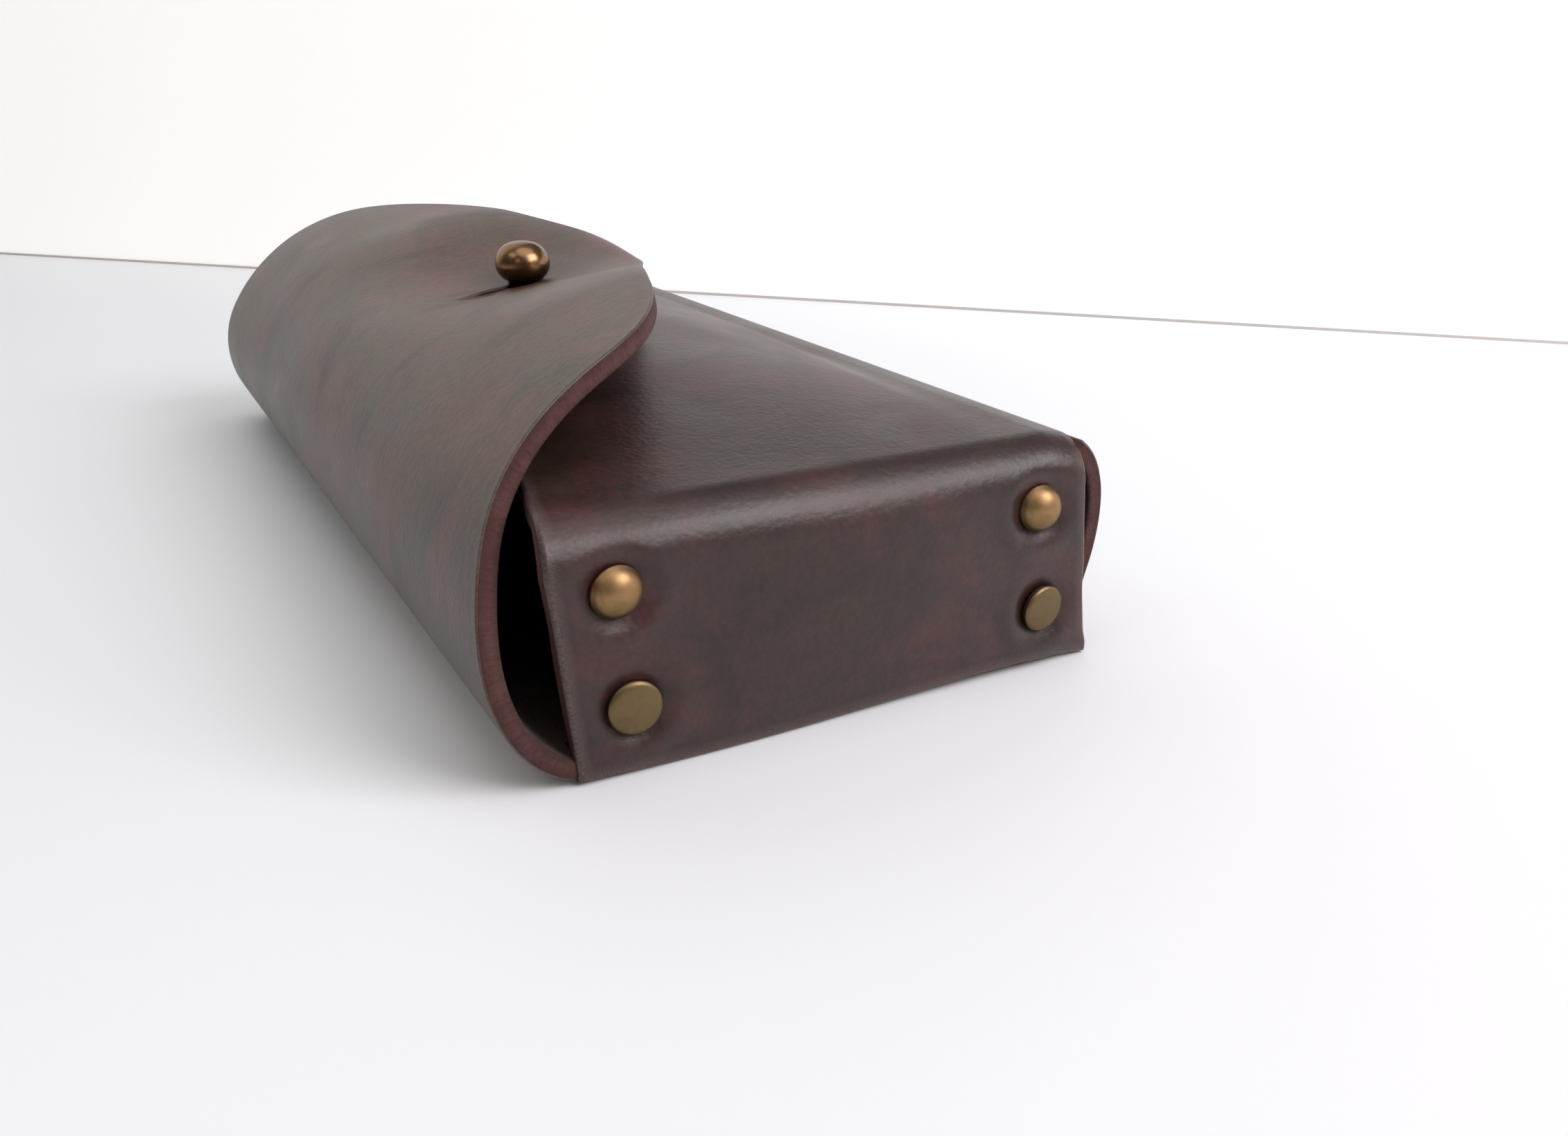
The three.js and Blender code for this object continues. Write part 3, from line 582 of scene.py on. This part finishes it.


# painted light and shade: body and flap are one hide, but the flap's colours are about twice as light,
# for the light on its upturned face, and the body's are darker, for the shade on the end walls, which
# face away from the light
BODY_LEATHER_SHADED_MAT = leather_grain(
    "body_grain_side_painted_shade", dark=(0.017, 0.007, 0.006), mid=(0.030, 0.011, 0.010),
    light=(0.046, 0.018, 0.016), red=(0.062, 0.015, 0.017), olive=(0.032, 0.019, 0.011),
    rough=0.41, mottle=0.85, sheen_blue=0.94)
FLAP_LEATHER_LIT_MAT = leather_grain(
    "flap_grain_side_painted_light", dark=(0.028, 0.015, 0.012), mid=(0.068, 0.034, 0.026),
    light=(0.104, 0.058, 0.043), red=(0.112, 0.036, 0.031), olive=(0.070, 0.050, 0.026),
    rough=0.46, mottle=0.86, sheen_blue=0.89)
EDGE_MAT = leather_cut_edge("leather_cut_edge")
FLESH_MAT = leather_flesh("leather_flesh_side")
RIVET_MAT = aged_metal(
    "rivet_antique_brass", bright=(0.34, 0.205, 0.098), worn=(0.235, 0.155, 0.072),
    patina_and_shade=(0.095, 0.075, 0.032), rough=0.43, seed=0.0)
# painted shade: the flat lower caps take a darker copy of the same brass, for the dark room they face
# and reflect
RIVET_FLAT_SHADED_MAT = aged_metal(
    "rivet_antique_brass_painted_shade", bright=(0.185, 0.132, 0.066), worn=(0.150, 0.108, 0.054),
    patina_and_shade=(0.08, 0.058, 0.028), rough=0.42, seed=5.0)
BACK_MAT = aged_metal(
    "rivet_back_brass", bright=(0.42, 0.30, 0.16), worn=(0.26, 0.185, 0.095),
    patina_and_shade=(0.08, 0.055, 0.03), rough=0.38, seed=9.0)
STUD_MAT = aged_metal(
    "stud_antique_bronze", bright=(0.255, 0.148, 0.074), worn=(0.170, 0.098, 0.050),
    patina_and_shade=(0.050, 0.034, 0.018), rough=0.26, seed=3.0)


# ------------------------------------------------------------------ flap, with its buttonhole and slit
def flap_outline(tip):
    """One half of the outline in (s, |y|), from the root to the tip, inset by the edge's rounding."""
    root = [(ROOT_S, FLAT_HALF), (3.55, FLAT_HALF), (3.75, FLAT_HALF + 0.4), (3.75, FLAP_HALF - RIM)]
    nose = 4                     # the last stretch, with points crowding towards the tip
    dense_s = np.concatenate([
        np.linspace(EDGE_FROM, TIP_AT - nose, 600),
        TIP_AT - nose * np.cos(np.linspace(0, math.pi / 2, 160))[1:]])
    outline = np.array([q for q in OUTLINE if q[0] < tip[0][0]] + tip)
    half = np.interp(dense_s, outline[:, 0], outline[:, 1])
    pts = np.stack([dense_s, np.minimum(half, FLAP_HALF)], -1)
    run = np.concatenate([[0], np.cumsum(np.linalg.norm(np.diff(pts, axis=0), axis=1))])
    at = np.linspace(0, run[-1], int(run[-1] / 1.15))
    pts = np.stack([np.interp(at, run, pts[:, k]) for k in (0, 1)], -1)
    for _ in range(5):
        pts[1:-1] = (pts[:-2] + 2 * pts[1:-1] + pts[2:]) / 4
    tangent = np.gradient(pts, axis=0)
    inward = unit_rows(np.stack([tangent[:, 1], -tangent[:, 0]], -1))
    pts = pts + inward * RIM
    tip_s = TIP_AT - RIM
    pts[-1] = (tip_s, 0)
    return root + [tuple(p) for p in pts if p[0] > EDGE_FROM and (p[1] > 0.5 or p[0] == tip_s)]


def opening_outline():
    """Buttonhole and slit as one closed line in (s, y)."""
    width = 0.30 + RIM * 0.35    # half width of the slit at the hole
    last = len(SLIT) - 1
    near_lip, far_lip = [], []
    for i, p in enumerate(SLIT):
        t = SLIT[min(i + 1, last)] - SLIT[max(i - 1, 0)]
        normal = np.array([-t[1], t[0]]) / np.linalg.norm(t)
        w = width * (1 - 0.75 * (i / last) ** 2) if i < last else 0.05
        near_lip.append(p + normal * w)
        far_lip.append(p - normal * w)
    centre = np.array([STUD_AT, STUD_Y])
    r = HOLE_R + RIM * 0.5
    start, end = (
        math.atan2(lip[0][1] - centre[1], lip[0][0] - centre[0]) for lip in (near_lip, far_lip))
    # walk the circle the long way round; each lip's first point lies inside it
    sweep = (end - start) % (2 * math.pi)
    steps = 30
    angles = [start + sweep * k / steps for k in range(1, steps)]
    circle = [centre + r * np.array([math.cos(a), math.sin(a)]) for a in angles]
    return circle + far_lip[1:] + near_lip[:0:-1]


def inside(q, poly):
    """Which of the points q lie in the closed polygon."""
    x, y = q[:, 0], q[:, 1]
    res = np.zeros(len(q), bool)
    j = len(poly) - 1
    for i in range(len(poly)):
        xi, yi, xj, yj = *poly[i], *poly[j]
        res ^= ((yi > y) != (yj > y)) & (x < (xj - xi) * (y - yi) / (yj - yi + 1e-15) + xi)
        j = i
    return res


def fill_points(ring, hole):
    """Staggered grid points for the flap's inside, finer round the button and its slit."""
    step = 1.3
    grid = []
    for i, s in enumerate(np.arange(ROOT_S + 0.9, 94, step)):
        if min(abs(s - q) for q in SPLITS) >= 0.4:
            grid += [(s, y) for y in np.arange(-84, 84, step) + (step / 2 if i % 2 else 0)]
    for s in np.arange(52, 76, 0.5):
        for y in np.arange(-15, 6, 0.5):
            if np.hypot(s - STUD_AT, y - STUD_Y) < 5.5 or slit_side(s, y)[0] < 2.0:
                grid.append((s + 0.013, y + 0.017))
    grid = np.array(grid)
    grid = grid[inside(grid, ring) & ~inside(grid, hole)]
    border = np.vstack([ring, hole])
    tree = point_tree(np.column_stack([border, np.zeros(len(border))]))
    kept = []
    for s, y in grid:
        clearance = 0.30 if np.hypot(s - STUD_AT, y - STUD_Y) < 16 else 0.6
        if tree.find((s, y, 0))[2] > clearance:
            kept.append((s, y))
    return kept


def build_flap():
    pts, edges = [], []

    def constrain(line, closed):
        ids = list(range(len(pts), len(pts) + len(line)))
        pts.extend(line)
        edges.extend(zip(ids, ids[1:] + ids[:1] if closed else ids[1:]))

    # from the root's far corner round the tip to the near corner, and back along the root with
    # points that match the body's columns
    far, near = flap_outline(TIP_FAR), flap_outline(TIP_NEAR)
    ring = far + [(s, -y) for s, y in near[:-1]][::-1] + [(ROOT_S, y) for y in COLUMNS[1:-1]]
    constrain(ring, closed=True)
    hole = opening_outline()
    constrain([tuple(p) for p in hole], closed=True)
    edge_s, edge_y = zip(*far[4:])
    for s in SPLITS:
        h = float(np.interp(s, edge_s, edge_y))
        constrain([(s, y) for y in np.linspace(-h, h, int(2 * h / 1.5))], closed=False)
    ring, hole = np.array(ring), np.array(hole)
    pts += fill_points(ring, hole)

    result = delaunay_2d_cdt([Vector(p) for p in pts], edges, [], 0, 1e-5)
    flat = np.array([tuple(v) for v in result[0]])
    tris = [tuple(f) for f in result[2]]
    centres = np.array([flat[list(t)].mean(axis=0) for t in tris])
    kept = inside(centres, ring) & ~inside(centres, hole)
    faces, strips = [], []
    for t, centre, good in zip(tris, centres, kept):
        if not good:
            continue
        a, b, c = (flat[i] for i in t)
        area = (b[0] - a[0]) * (c[1] - a[1]) - (b[1] - a[1]) * (c[0] - a[0])
        if abs(area) < 1e-7:
            continue
        faces.append(t if area > 0 else tuple(reversed(t)))
        strips.append(sum(centre[0] > q for q in SPLITS))
    s, y = flat[:, 0], flat[:, 1]
    at_root = np.abs(s - ROOT_S) < 1e-3
    sheet = thick_sheet(flap_point(s, y), flap_normal(s, y), faces, np.stack([s, y], -1),
                        RIM, RIM_IN, lambda a, b: at_root[a] and at_root[b])
    bends = [f"flap_bend_leather_{k}" for k in range(1, 6)]
    objects = []
    for k, name in enumerate(["flap_root_leather", *bends, "flap_tongue_leather"]):
        picked = [i for i, f in enumerate(sheet.source) if strips[f] == k]
        objects.append(sheet_mesh(name, sheet, picked, [FLAP_LEATHER_LIT_MAT, EDGE_MAT, FLESH_MAT]))
    return objects


# ------------------------------------------------------------------ body
# rows run from the flap's root along the underside, up the spine and over the panel to the mouth
ROOT_ROWS_S = (ROOT_S, 1.4, 0.8, 0.2)
TRAY_ROWS_X = np.linspace(3.6, 60.5, 38)
SPINE_ROWS = 31
PANEL_ROWS_T = np.concatenate([[0.012, 0.028], np.linspace(0.045, 1, 88)])
TRAY_START = len(ROOT_ROWS_S)
SPINE_START = TRAY_START + len(TRAY_ROWS_X)
LID_START = SPINE_START + 27     # first row that folds down into the end walls


def body_rows():
    """x and z of each row, over the columns."""
    rows = [profile_xz(s) for s in ROOT_ROWS_S]
    rows += [(x, 0.0) for x in TRAY_ROWS_X]
    for x, z in spline(SPINE_LINE, SPINE_ROWS):
        bulge = SPINE_BULGE * math.sin(math.pi * min(1, z / 26)) ** 2
        rows.append((x + bulge * swell(COLUMNS), z))
    for t in PANEL_ROWS_T:
        x = lerp(SPINE_TOP_X, mouth_edge(COLUMNS), t)
        rows.append((x, WALL_TOP + panel_rise(x) * swell(COLUMNS) * smooth(t * 9)))
    return [[np.broadcast_to(np.asarray(q, float), COLUMNS.shape) for q in row] for row in rows]


def spine_places(x, z):
    return [(x, lerp(FOLD_R, 2.05 + BODY_RIM, k / 3), z) for k in (1, 2, 3)]


def tab_places(x, z):
    """Along the underside, round the fold and up the tab behind the end wall."""
    inset = LEATHER + GAP
    out = [(x, inset + TAB_R, 0.0)]
    for k in range(1, 7):
        a = k / 6 * math.pi / 2
        h = TAB_R * (1 - math.cos(a))
        out.append((x - LEAN * h, inset + TAB_R * (1 - math.sin(a)), h))
    for k in range(1, 13):
        h = lerp(TAB_R, TAB_HEIGHT - BODY_RIM, k / 12)
        out.append((x - LEAN * h, inset, h))
    return out


RIVET_PLACES = [
    (x0 - LEAN * z, z)
    for z in (RIVET_LOW, RIVET_HIGH) for x0 in (RIVET_LEFT, WALL_WIDTH - RIVET_RIGHT)]


def wall_push(x, z, foot, side):
    """How far the end wall's leather stands out at x, z."""
    push = 0.0
    for rivet_x, rivet_z in RIVET_PLACES:
        # pulled in under the rivet, puckered out below and inboard of it
        r = math.hypot(x - rivet_x, z - rivet_z)
        push -= 0.88 * math.exp(-((r / 3.9) ** 4))
        inboard = 1 if rivet_x < WALL_WIDTH / 2 else -1
        angle = math.atan2(z - rivet_z, (x - rivet_x) * inboard)
        pucker = (0.5 - 0.5 * math.sin(angle - 0.5)) ** 1.3
        push += 0.36 * math.exp(-(((r - 4.9) / 1.5) ** 2)) * pucker
    # a slow bulge over the whole wall, and slight waves
    across = math.sin(math.pi * min(1, max(0, (foot - 3) / 60))) ** 1.5
    push += 0.75 * across * math.sin(math.pi * min(1, max(0, z / 26)))
    return push + 0.12 * math.sin(x / 6.1 + 1.3 * side) * math.sin(z / 4.7 + 0.8)


def wall_places(x0, z0, side, fraction):
    """Round the fold and down the end wall; fraction goes from the spine side to the mouth."""
    foot = lerp(WALL_WIDTH - BODY_RIM, BODY_RIM, fraction)
    fold_z = z0 - FOLD_R
    out = []                     # x, distance in, z, weight of the push
    for k in range(1, 13):
        a = k / 12 * math.pi / 2
        x = lerp(x0, foot - LEAN * fold_z, lerp(k / 12, math.sin(a), fraction**6))
        out.append((x, FOLD_R * (1 - math.sin(a)), z0 - FOLD_R * (1 - math.cos(a)), k / 12))
    foot_at = foot if side < 0 else WALL_WIDTH - foot
    bottom = float(np.interp(foot_at, FOOT[:, 0], FOOT[:, 1])) + BODY_RIM + 0.02
    # the spine-side edge wanders in and out, and ends in a small nub at the foot
    edge = smooth((foot - 58) / 8)
    for k in range(1, 57):
        z = lerp(fold_z, bottom, k / 56)
        nub = 0.35 * math.exp(-(((z - 1.2) / 1.3) ** 2))
        hollow = 0.25 * math.exp(-(((z - 8.5) / 3.0) ** 2))
        out.append((foot - LEAN * z + edge * (nub - hollow), 0.0, z, 1.0))
    return [(x, d - wall_push(x, z, foot, side) * weight, z) for x, d, z, weight in out]


def build_body():
    rows = body_rows()
    count_c = len(COLUMNS)
    points, grain, faces = [], [], []
    run = np.zeros(count_c)
    for i, (x, z) in enumerate(rows):
        if i:
            run = run + np.hypot(x - rows[i - 1][0], z - rows[i - 1][1])
        points += zip(x, COLUMNS, z)
        grain += zip(ROOT_S - run, COLUMNS)
    for i in range(len(rows) - 1):
        for j in range(count_c - 1):
            a, b = i * count_c + j, (i + 1) * count_c + j
            faces.append((a, a + 1, b + 1, b))

    def wing(side, start, end, places):
        """Carry rows start to end on past the flat length. places(x, z) gives the new points as
        (x, distance in from the end plane, z)."""
        j0 = 0 if side < 0 else count_c - 1
        before = None
        for i in range(start, end + 1):
            x, z = (float(q[j0]) for q in rows[i])
            line = [i * count_c + j0]
            last = (x, FOLD_R, z)
            root_s, v = grain[line[0]]
            v = abs(v)
            for p in places(x, z):
                v += math.dist(p, last)
                last = p
                points.append((p[0], side * (HALF - p[1]), p[2]))
                grain.append((root_s, side * v))
                line.append(len(points) - 1)
            if before is not None:
                for k in range(len(line) - 1):
                    q = (before[k], before[k + 1], line[k + 1], line[k])
                    faces.append(q if side > 0 else tuple(reversed(q)))
            before = line

    lid_from = float(rows[LID_START][0][0])
    lid_to = float(rows[-1][0][0])
    for side in (-1, 1):
        wing(side, SPINE_START + 1, LID_START - 1, spine_places)
        wing(side, TRAY_START, SPINE_START - 1, tab_places)
        wing(side, LID_START, len(rows) - 1, lambda x, z: wall_places(
            x, z, side, (lid_from - x) / (lid_from - lid_to)))

    points = np.array(points, float)
    normals = np.zeros_like(points)
    f = np.array(faces)
    face_normals = np.cross(points[f[:, 2]] - points[f[:, 0]], points[f[:, 3]] - points[f[:, 1]])
    for k in range(4):
        np.add.at(normals, f[:, k], face_normals)
    normals = unit_rows(normals, tiny=1e-15)
    # exact along the seam with the flap
    normals[:count_c] = flap_normal(np.full(count_c, ROOT_S), COLUMNS)
    sheet = thick_sheet(points, normals, faces, np.array(grain, float), BODY_RIM, BODY_RIM_IN,
                        lambda a, b: a < count_c and b < count_c)
    return sheet_mesh("case_body_leather", sheet, range(len(sheet.faces)),
                      [BODY_LEATHER_SHADED_MAT, EDGE_MAT, FLESH_MAT])


# ------------------------------------------------------------------ turned metal
def lathe(name, profile, segments, material, matrix):
    """A closed turned piece: profile points (radius, height) from the axis out and back."""
    verts, faces, rings = [], [], []
    for r, h in profile:
        first = len(verts)
        if r < 1e-9:
            verts.append((0, 0, h))
        else:
            for k in range(segments):
                a = 2 * math.pi * k / segments
                verts.append((r * math.cos(a), r * math.sin(a), h))
        rings.append(range(first, len(verts)))
    for p, q in zip(rings, rings[1:]):
        for k in range(segments):
            n = (k + 1) % segments
            if len(p) == 1:
                faces.append((p[0], q[k], q[n]))
            elif len(q) == 1:
                faces.append((p[n], p[k], q[0]))
            else:
                faces.append((p[n], p[k], q[k], q[n]))
    mesh = bpy.data.meshes.new(name)
    mesh.from_pydata([tuple(c * MM for c in v) for v in verts], [], faces)
    mesh.materials.append(material)
    mesh.polygons.foreach_set("use_smooth", np.ones(len(faces), dtype=bool))
    mesh.update()
    obj = link(name, mesh)
    obj.matrix_world = matrix
    return obj


def arc(cx, cy, rx, ry, start, end, n):
    """Points on an ellipse, between two angles in degrees."""
    angles = [math.radians(lerp(start, end, k / n)) for k in range(n + 1)]
    return [(cx + rx * math.cos(a), cy + ry * math.sin(a)) for a in angles]


def rivet_cap(domed):
    """Top, rolled rim, then the shank down through the leather."""
    r = RIVET_R
    if domed:
        top = arc(0, 0.10, r * 0.97, 1.95, 90, 14, 12)
    else:
        top = [(0, 1.18), (0.9, 1.175), (1.8, 1.15), (2.25, 1.10)]
        top += arc(2.25, 0.55, 0.72, 0.53, 80, 10, 6)
    rolled = arc(r - 0.16, 0.22, 0.16, 0.22, 40, -90, 5)
    return top + rolled + [(1.5, 0.0), (1.42, -0.1), (1.42, -4.7), (1.3, -4.8), (0, -4.8)]


def rivet_back():
    """Low dome and rolled rim inside the case."""
    r = RIVET_R
    dome = [(0, -5.95)] + arc(0, -4.98, r * 0.94, 0.98, 282, 345, 8)
    return dome + arc(r - 0.16, -5.1, 0.16, 0.16, -40, 80, 4) + [(1.6, -4.93), (0, -4.93)]


CAP_TURN = {                     # degrees each cap sits askew; the far caps all take 2
    "near_upper_flap_side": 3, "near_upper_spine_side": -4,
    "near_lower_flap_side": -3, "near_lower_spine_side": 5}
CAP_SINK = 0.00055               # metres into the wall
BACK_SINK = 0.0001


def build_rivet(key, side, x, z, domed):
    # the pieces' +Z axis points out of the end wall
    out = Matrix.Rotation(math.radians(-90 if side > 0 else 90), 4, "X")
    place = Matrix.Translation(metres(x, side * HALF, z)) @ out
    turn = CAP_TURN.get(key, 2)
    tilt = (Matrix.Rotation(math.radians(turn), 4, "Y")
            @ Matrix.Rotation(math.radians(turn * 0.6), 4, "X"))
    cap = lathe(f"cap_{key}", rivet_cap(domed), 56, RIVET_MAT if domed else RIVET_FLAT_SHADED_MAT,
                place @ Matrix.Translation((0, 0, -CAP_SINK)) @ tilt)
    back = lathe(f"back_{key}", rivet_back(), 40, BACK_MAT,
                 place @ Matrix.Translation((0, 0, -BACK_SINK)))
    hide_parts(f"rivet_cap_{key}")
    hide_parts(f"rivet_back_{key}")
    return [cap, back]


def build_stud():
    x, _, z = flap_point(np.array([STUD_AT]), np.array([STUD_Y]))[0]
    panel = WALL_TOP + float(panel_rise(x) * swell(STUD_Y))
    seat = z - 0.05              # underside of the head, just clear of the flap
    neck = [(0, panel - 0.05), (2.5, panel - 0.05), (2.6, panel + 0.1), (2.5, panel + 0.5),
            (2.15, panel + 0.8), (2.05, seat - 0.4), (2.15, seat - 0.1)]
    radius, height, waist = 4.0, 6.1, 0.46   # of the head; its widest level as a share of height
    head = []
    for k in range(25):
        a = -math.pi / 2 + math.pi * (k / 24)
        r = radius * math.cos(a) ** 0.78
        rise = height * (waist if a < 0 else 1 - waist)
        if r > 2.2 or a > 0:
            head.append((r, seat + height * waist + rise * math.sin(a)))
    place = Matrix.Translation(metres(x, STUD_Y, 0))
    stud = lathe("button_stud", (neck + head)[::-1], 72, STUD_MAT, place)
    under = panel - LEATHER - 0.35
    base = [(0, under + 0.1), (1.2, under + 0.1), (4.6, under + 0.1), (4.8, under - 0.15),
            (4.75, under - 0.8), (4.3, under - 1.15), (0.9, under - 1.2), (0.55, under - 0.9),
            (0, under - 0.9)]
    screw = lathe("stud_screw_base", base, 56, BACK_MAT, place)
    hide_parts("stud_head")
    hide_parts("stud_screw")
    return [stud, screw]


def build_metal():
    made = []
    for end, side in (("near", -1), ("far", 1)):
        for level, z in (("upper", RIVET_HIGH), ("lower", RIVET_LOW)):
            for hand, x0 in (("flap_side", RIVET_LEFT), ("spine_side", WALL_WIDTH - RIVET_RIGHT)):
                key = f"{end}_{level}_{hand}"
                made += build_rivet(key, side, x0 - LEAN * z, z, domed=level == "upper")
    return made + build_stud()


body = build_body()
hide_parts("leather_body")
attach(body, "case")

flap = build_flap()
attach(flap[0], "case")
for k in range(1, 6):
    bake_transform(flap[k])
    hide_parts("flap_tongue" if k == 5 else f"flap_wrap_{k}")
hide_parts("flap_tongue")
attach(flap[6], "tongue")

for piece in build_metal():
    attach(piece, "case")


# ------------------------------------------------------------------ table and wall, in metres
def painted(name, colour, tint, rough, glow=0.0):
    n = Nodes(bpy.data.materials.new(name))
    co = n.place("Object")
    cloud = n.noise(n.stretch(co, 1, 1, 1), scale=3.0)
    grit = n.noise(co, scale=900.0, detail=3.0, rough=0.6)
    return n.principled(
        Base_Color=n.tint(colour, tint, cloud, span=(0.3, 0.7), to=(0.0, 1.0)), Roughness=rough,
        Normal=n.bump(grit, distance=0.0001, strength=0.15), Specular_IOR_Level=0.3,
        Emission_Color=(1.0, 0.975, 0.95, 1.0), Emission_Strength=glow)


def staged_sheet(name, corners, material):
    mesh = bpy.data.meshes.new(name)
    mesh.from_pydata(corners, [], [tuple(range(len(corners)))])
    mesh.materials.append(material)
    link(name, mesh)


def staged_wall(name, reach, top, material):
    """An upright sheet across the far +X corner, along x + y = reach."""
    ends = [(reach + 2.5, -2.5), (reach - 3.0, 3.0)]
    corners = [(*p, TABLE_Z) for p in ends] + [(*p, top) for p in ends[::-1]]
    staged_sheet(name, corners, material)


TABLE_Z = -0.00006
WALL_REACH = 0.285
staged_sheet("table_top", [(x, y, TABLE_Z) for x, y in ((-3, -3), (3, -3), (3, 3), (-3, 3))],
             painted("table_paint", colour=(0.80, 0.83, 0.84), tint=(0.83, 0.84, 0.84), rough=0.5))
staged_wall("wall", WALL_REACH, 0.15, painted(
    "wall_paint", colour=(0.83, 0.82, 0.80), tint=(0.84, 0.83, 0.81), rough=0.8, glow=0.42))
# painted shadow: a dark strip along the joint between wall and table
staged_wall("wall_joint_shadow_strip", WALL_REACH - 0.0006, 0.0007, painted(
    "joint_shade", colour=(0.62, 0.58, 0.56), tint=(0.66, 0.62, 0.60), rough=0.9))


# ------------------------------------------------------------------ world, lights, camera
def build_world():
    """A dark room, lighter straight up, with a bright opening high towards +Y and a little -X."""
    world = bpy.data.worlds.new("studio")
    bpy.context.scene.world = world
    n = Nodes(world)
    co = n.place("Generated")
    colour = n.ramp(n.remap(n.z_of(co)), [
        (0.0, (0.10, 0.09, 0.09)), (0.55, (0.13, 0.12, 0.125)),
        (0.80, (0.22, 0.21, 0.22)), (1.0, (0.42, 0.42, 0.45))])
    towards = (-0.24, 0.87, 0.43)
    aim = n.add("ShaderNodeVectorMath", {}, operation="DOT_PRODUCT")
    n.tree.links.new(co, aim.inputs[0])
    aim.inputs[1].default_value = towards
    colour = n.tint(colour, (1.08, 1.06, 1.0), aim.outputs["Value"], span=(0.72, 0.90), to=(0.0, 1.0))
    background = n.add("ShaderNodeBackground", {"Color": colour, "Strength": 1.0})
    n.add("ShaderNodeOutputWorld", {"Surface": background.outputs[0]})


def area(name, at, aim, size, power, colour, size_y=None):
    """A rectangular light if size_y is given, otherwise a disk."""
    light = bpy.data.lights.new(name, "AREA")
    light.shape = "RECTANGLE" if size_y else "DISK"
    light.size = size
    if size_y:
        light.size_y = size_y
    light.energy = power
    light.color = colour
    obj = bpy.data.objects.new(name, light)
    obj.location = at
    obj.rotation_euler = (Vector(aim) - Vector(at)).to_track_quat("-Z", "Y").to_euler()
    bpy.context.scene.collection.objects.link(obj)


def build_camera():
    right = Vector((0.86806639, -0.49633527, 0.01058517))
    up = Vector((0.17453401, 0.32507346, 0.92944345))
    forward = Vector((0.46475652, 0.80497115, -0.36881273))
    data = bpy.data.cameras.new("camera")
    data.sensor_fit = "HORIZONTAL"
    data.sensor_width = 36.0
    data.lens = 29.1463492
    data.clip_start = 0.005
    camera = link("camera", data)
    axes = Matrix((right, up, -forward)).transposed().to_4x4()
    camera.matrix_world = Matrix.Translation((-0.0680437, -0.18901296, 0.06770936)) @ axes
    bpy.context.scene.camera = camera


build_world()
area("ceiling", at=(0.10, -0.30, 0.95), aim=(0, 0, 0), size=1.0, power=3.2,
     colour=(1.0, 0.985, 0.99))
area("key", at=(0.40, -0.60, 0.53), aim=(0.0, -0.04, 0.02), size=0.54, size_y=0.42, power=5.4,
     colour=(1.0, 0.965, 1.02))
area("window", at=(-0.42, -0.10, 0.52), aim=(0, -0.02, 0.02), size=0.30, size_y=0.22, power=0.30,
     colour=(0.93, 0.95, 1.0))
area("lamp_left", at=(-0.50, -0.62, 0.42), aim=(0, 0, 0.03), size=0.10, power=0.18,
     colour=(1.0, 0.84, 0.70))
area("lamp_right", at=(0.18, -0.85, 0.42), aim=(0, 0, 0.03), size=0.12, power=0.18,
     colour=(1.0, 0.84, 0.70))
build_camera()
bpy.context.scene.view_settings.view_transform = "Standard"
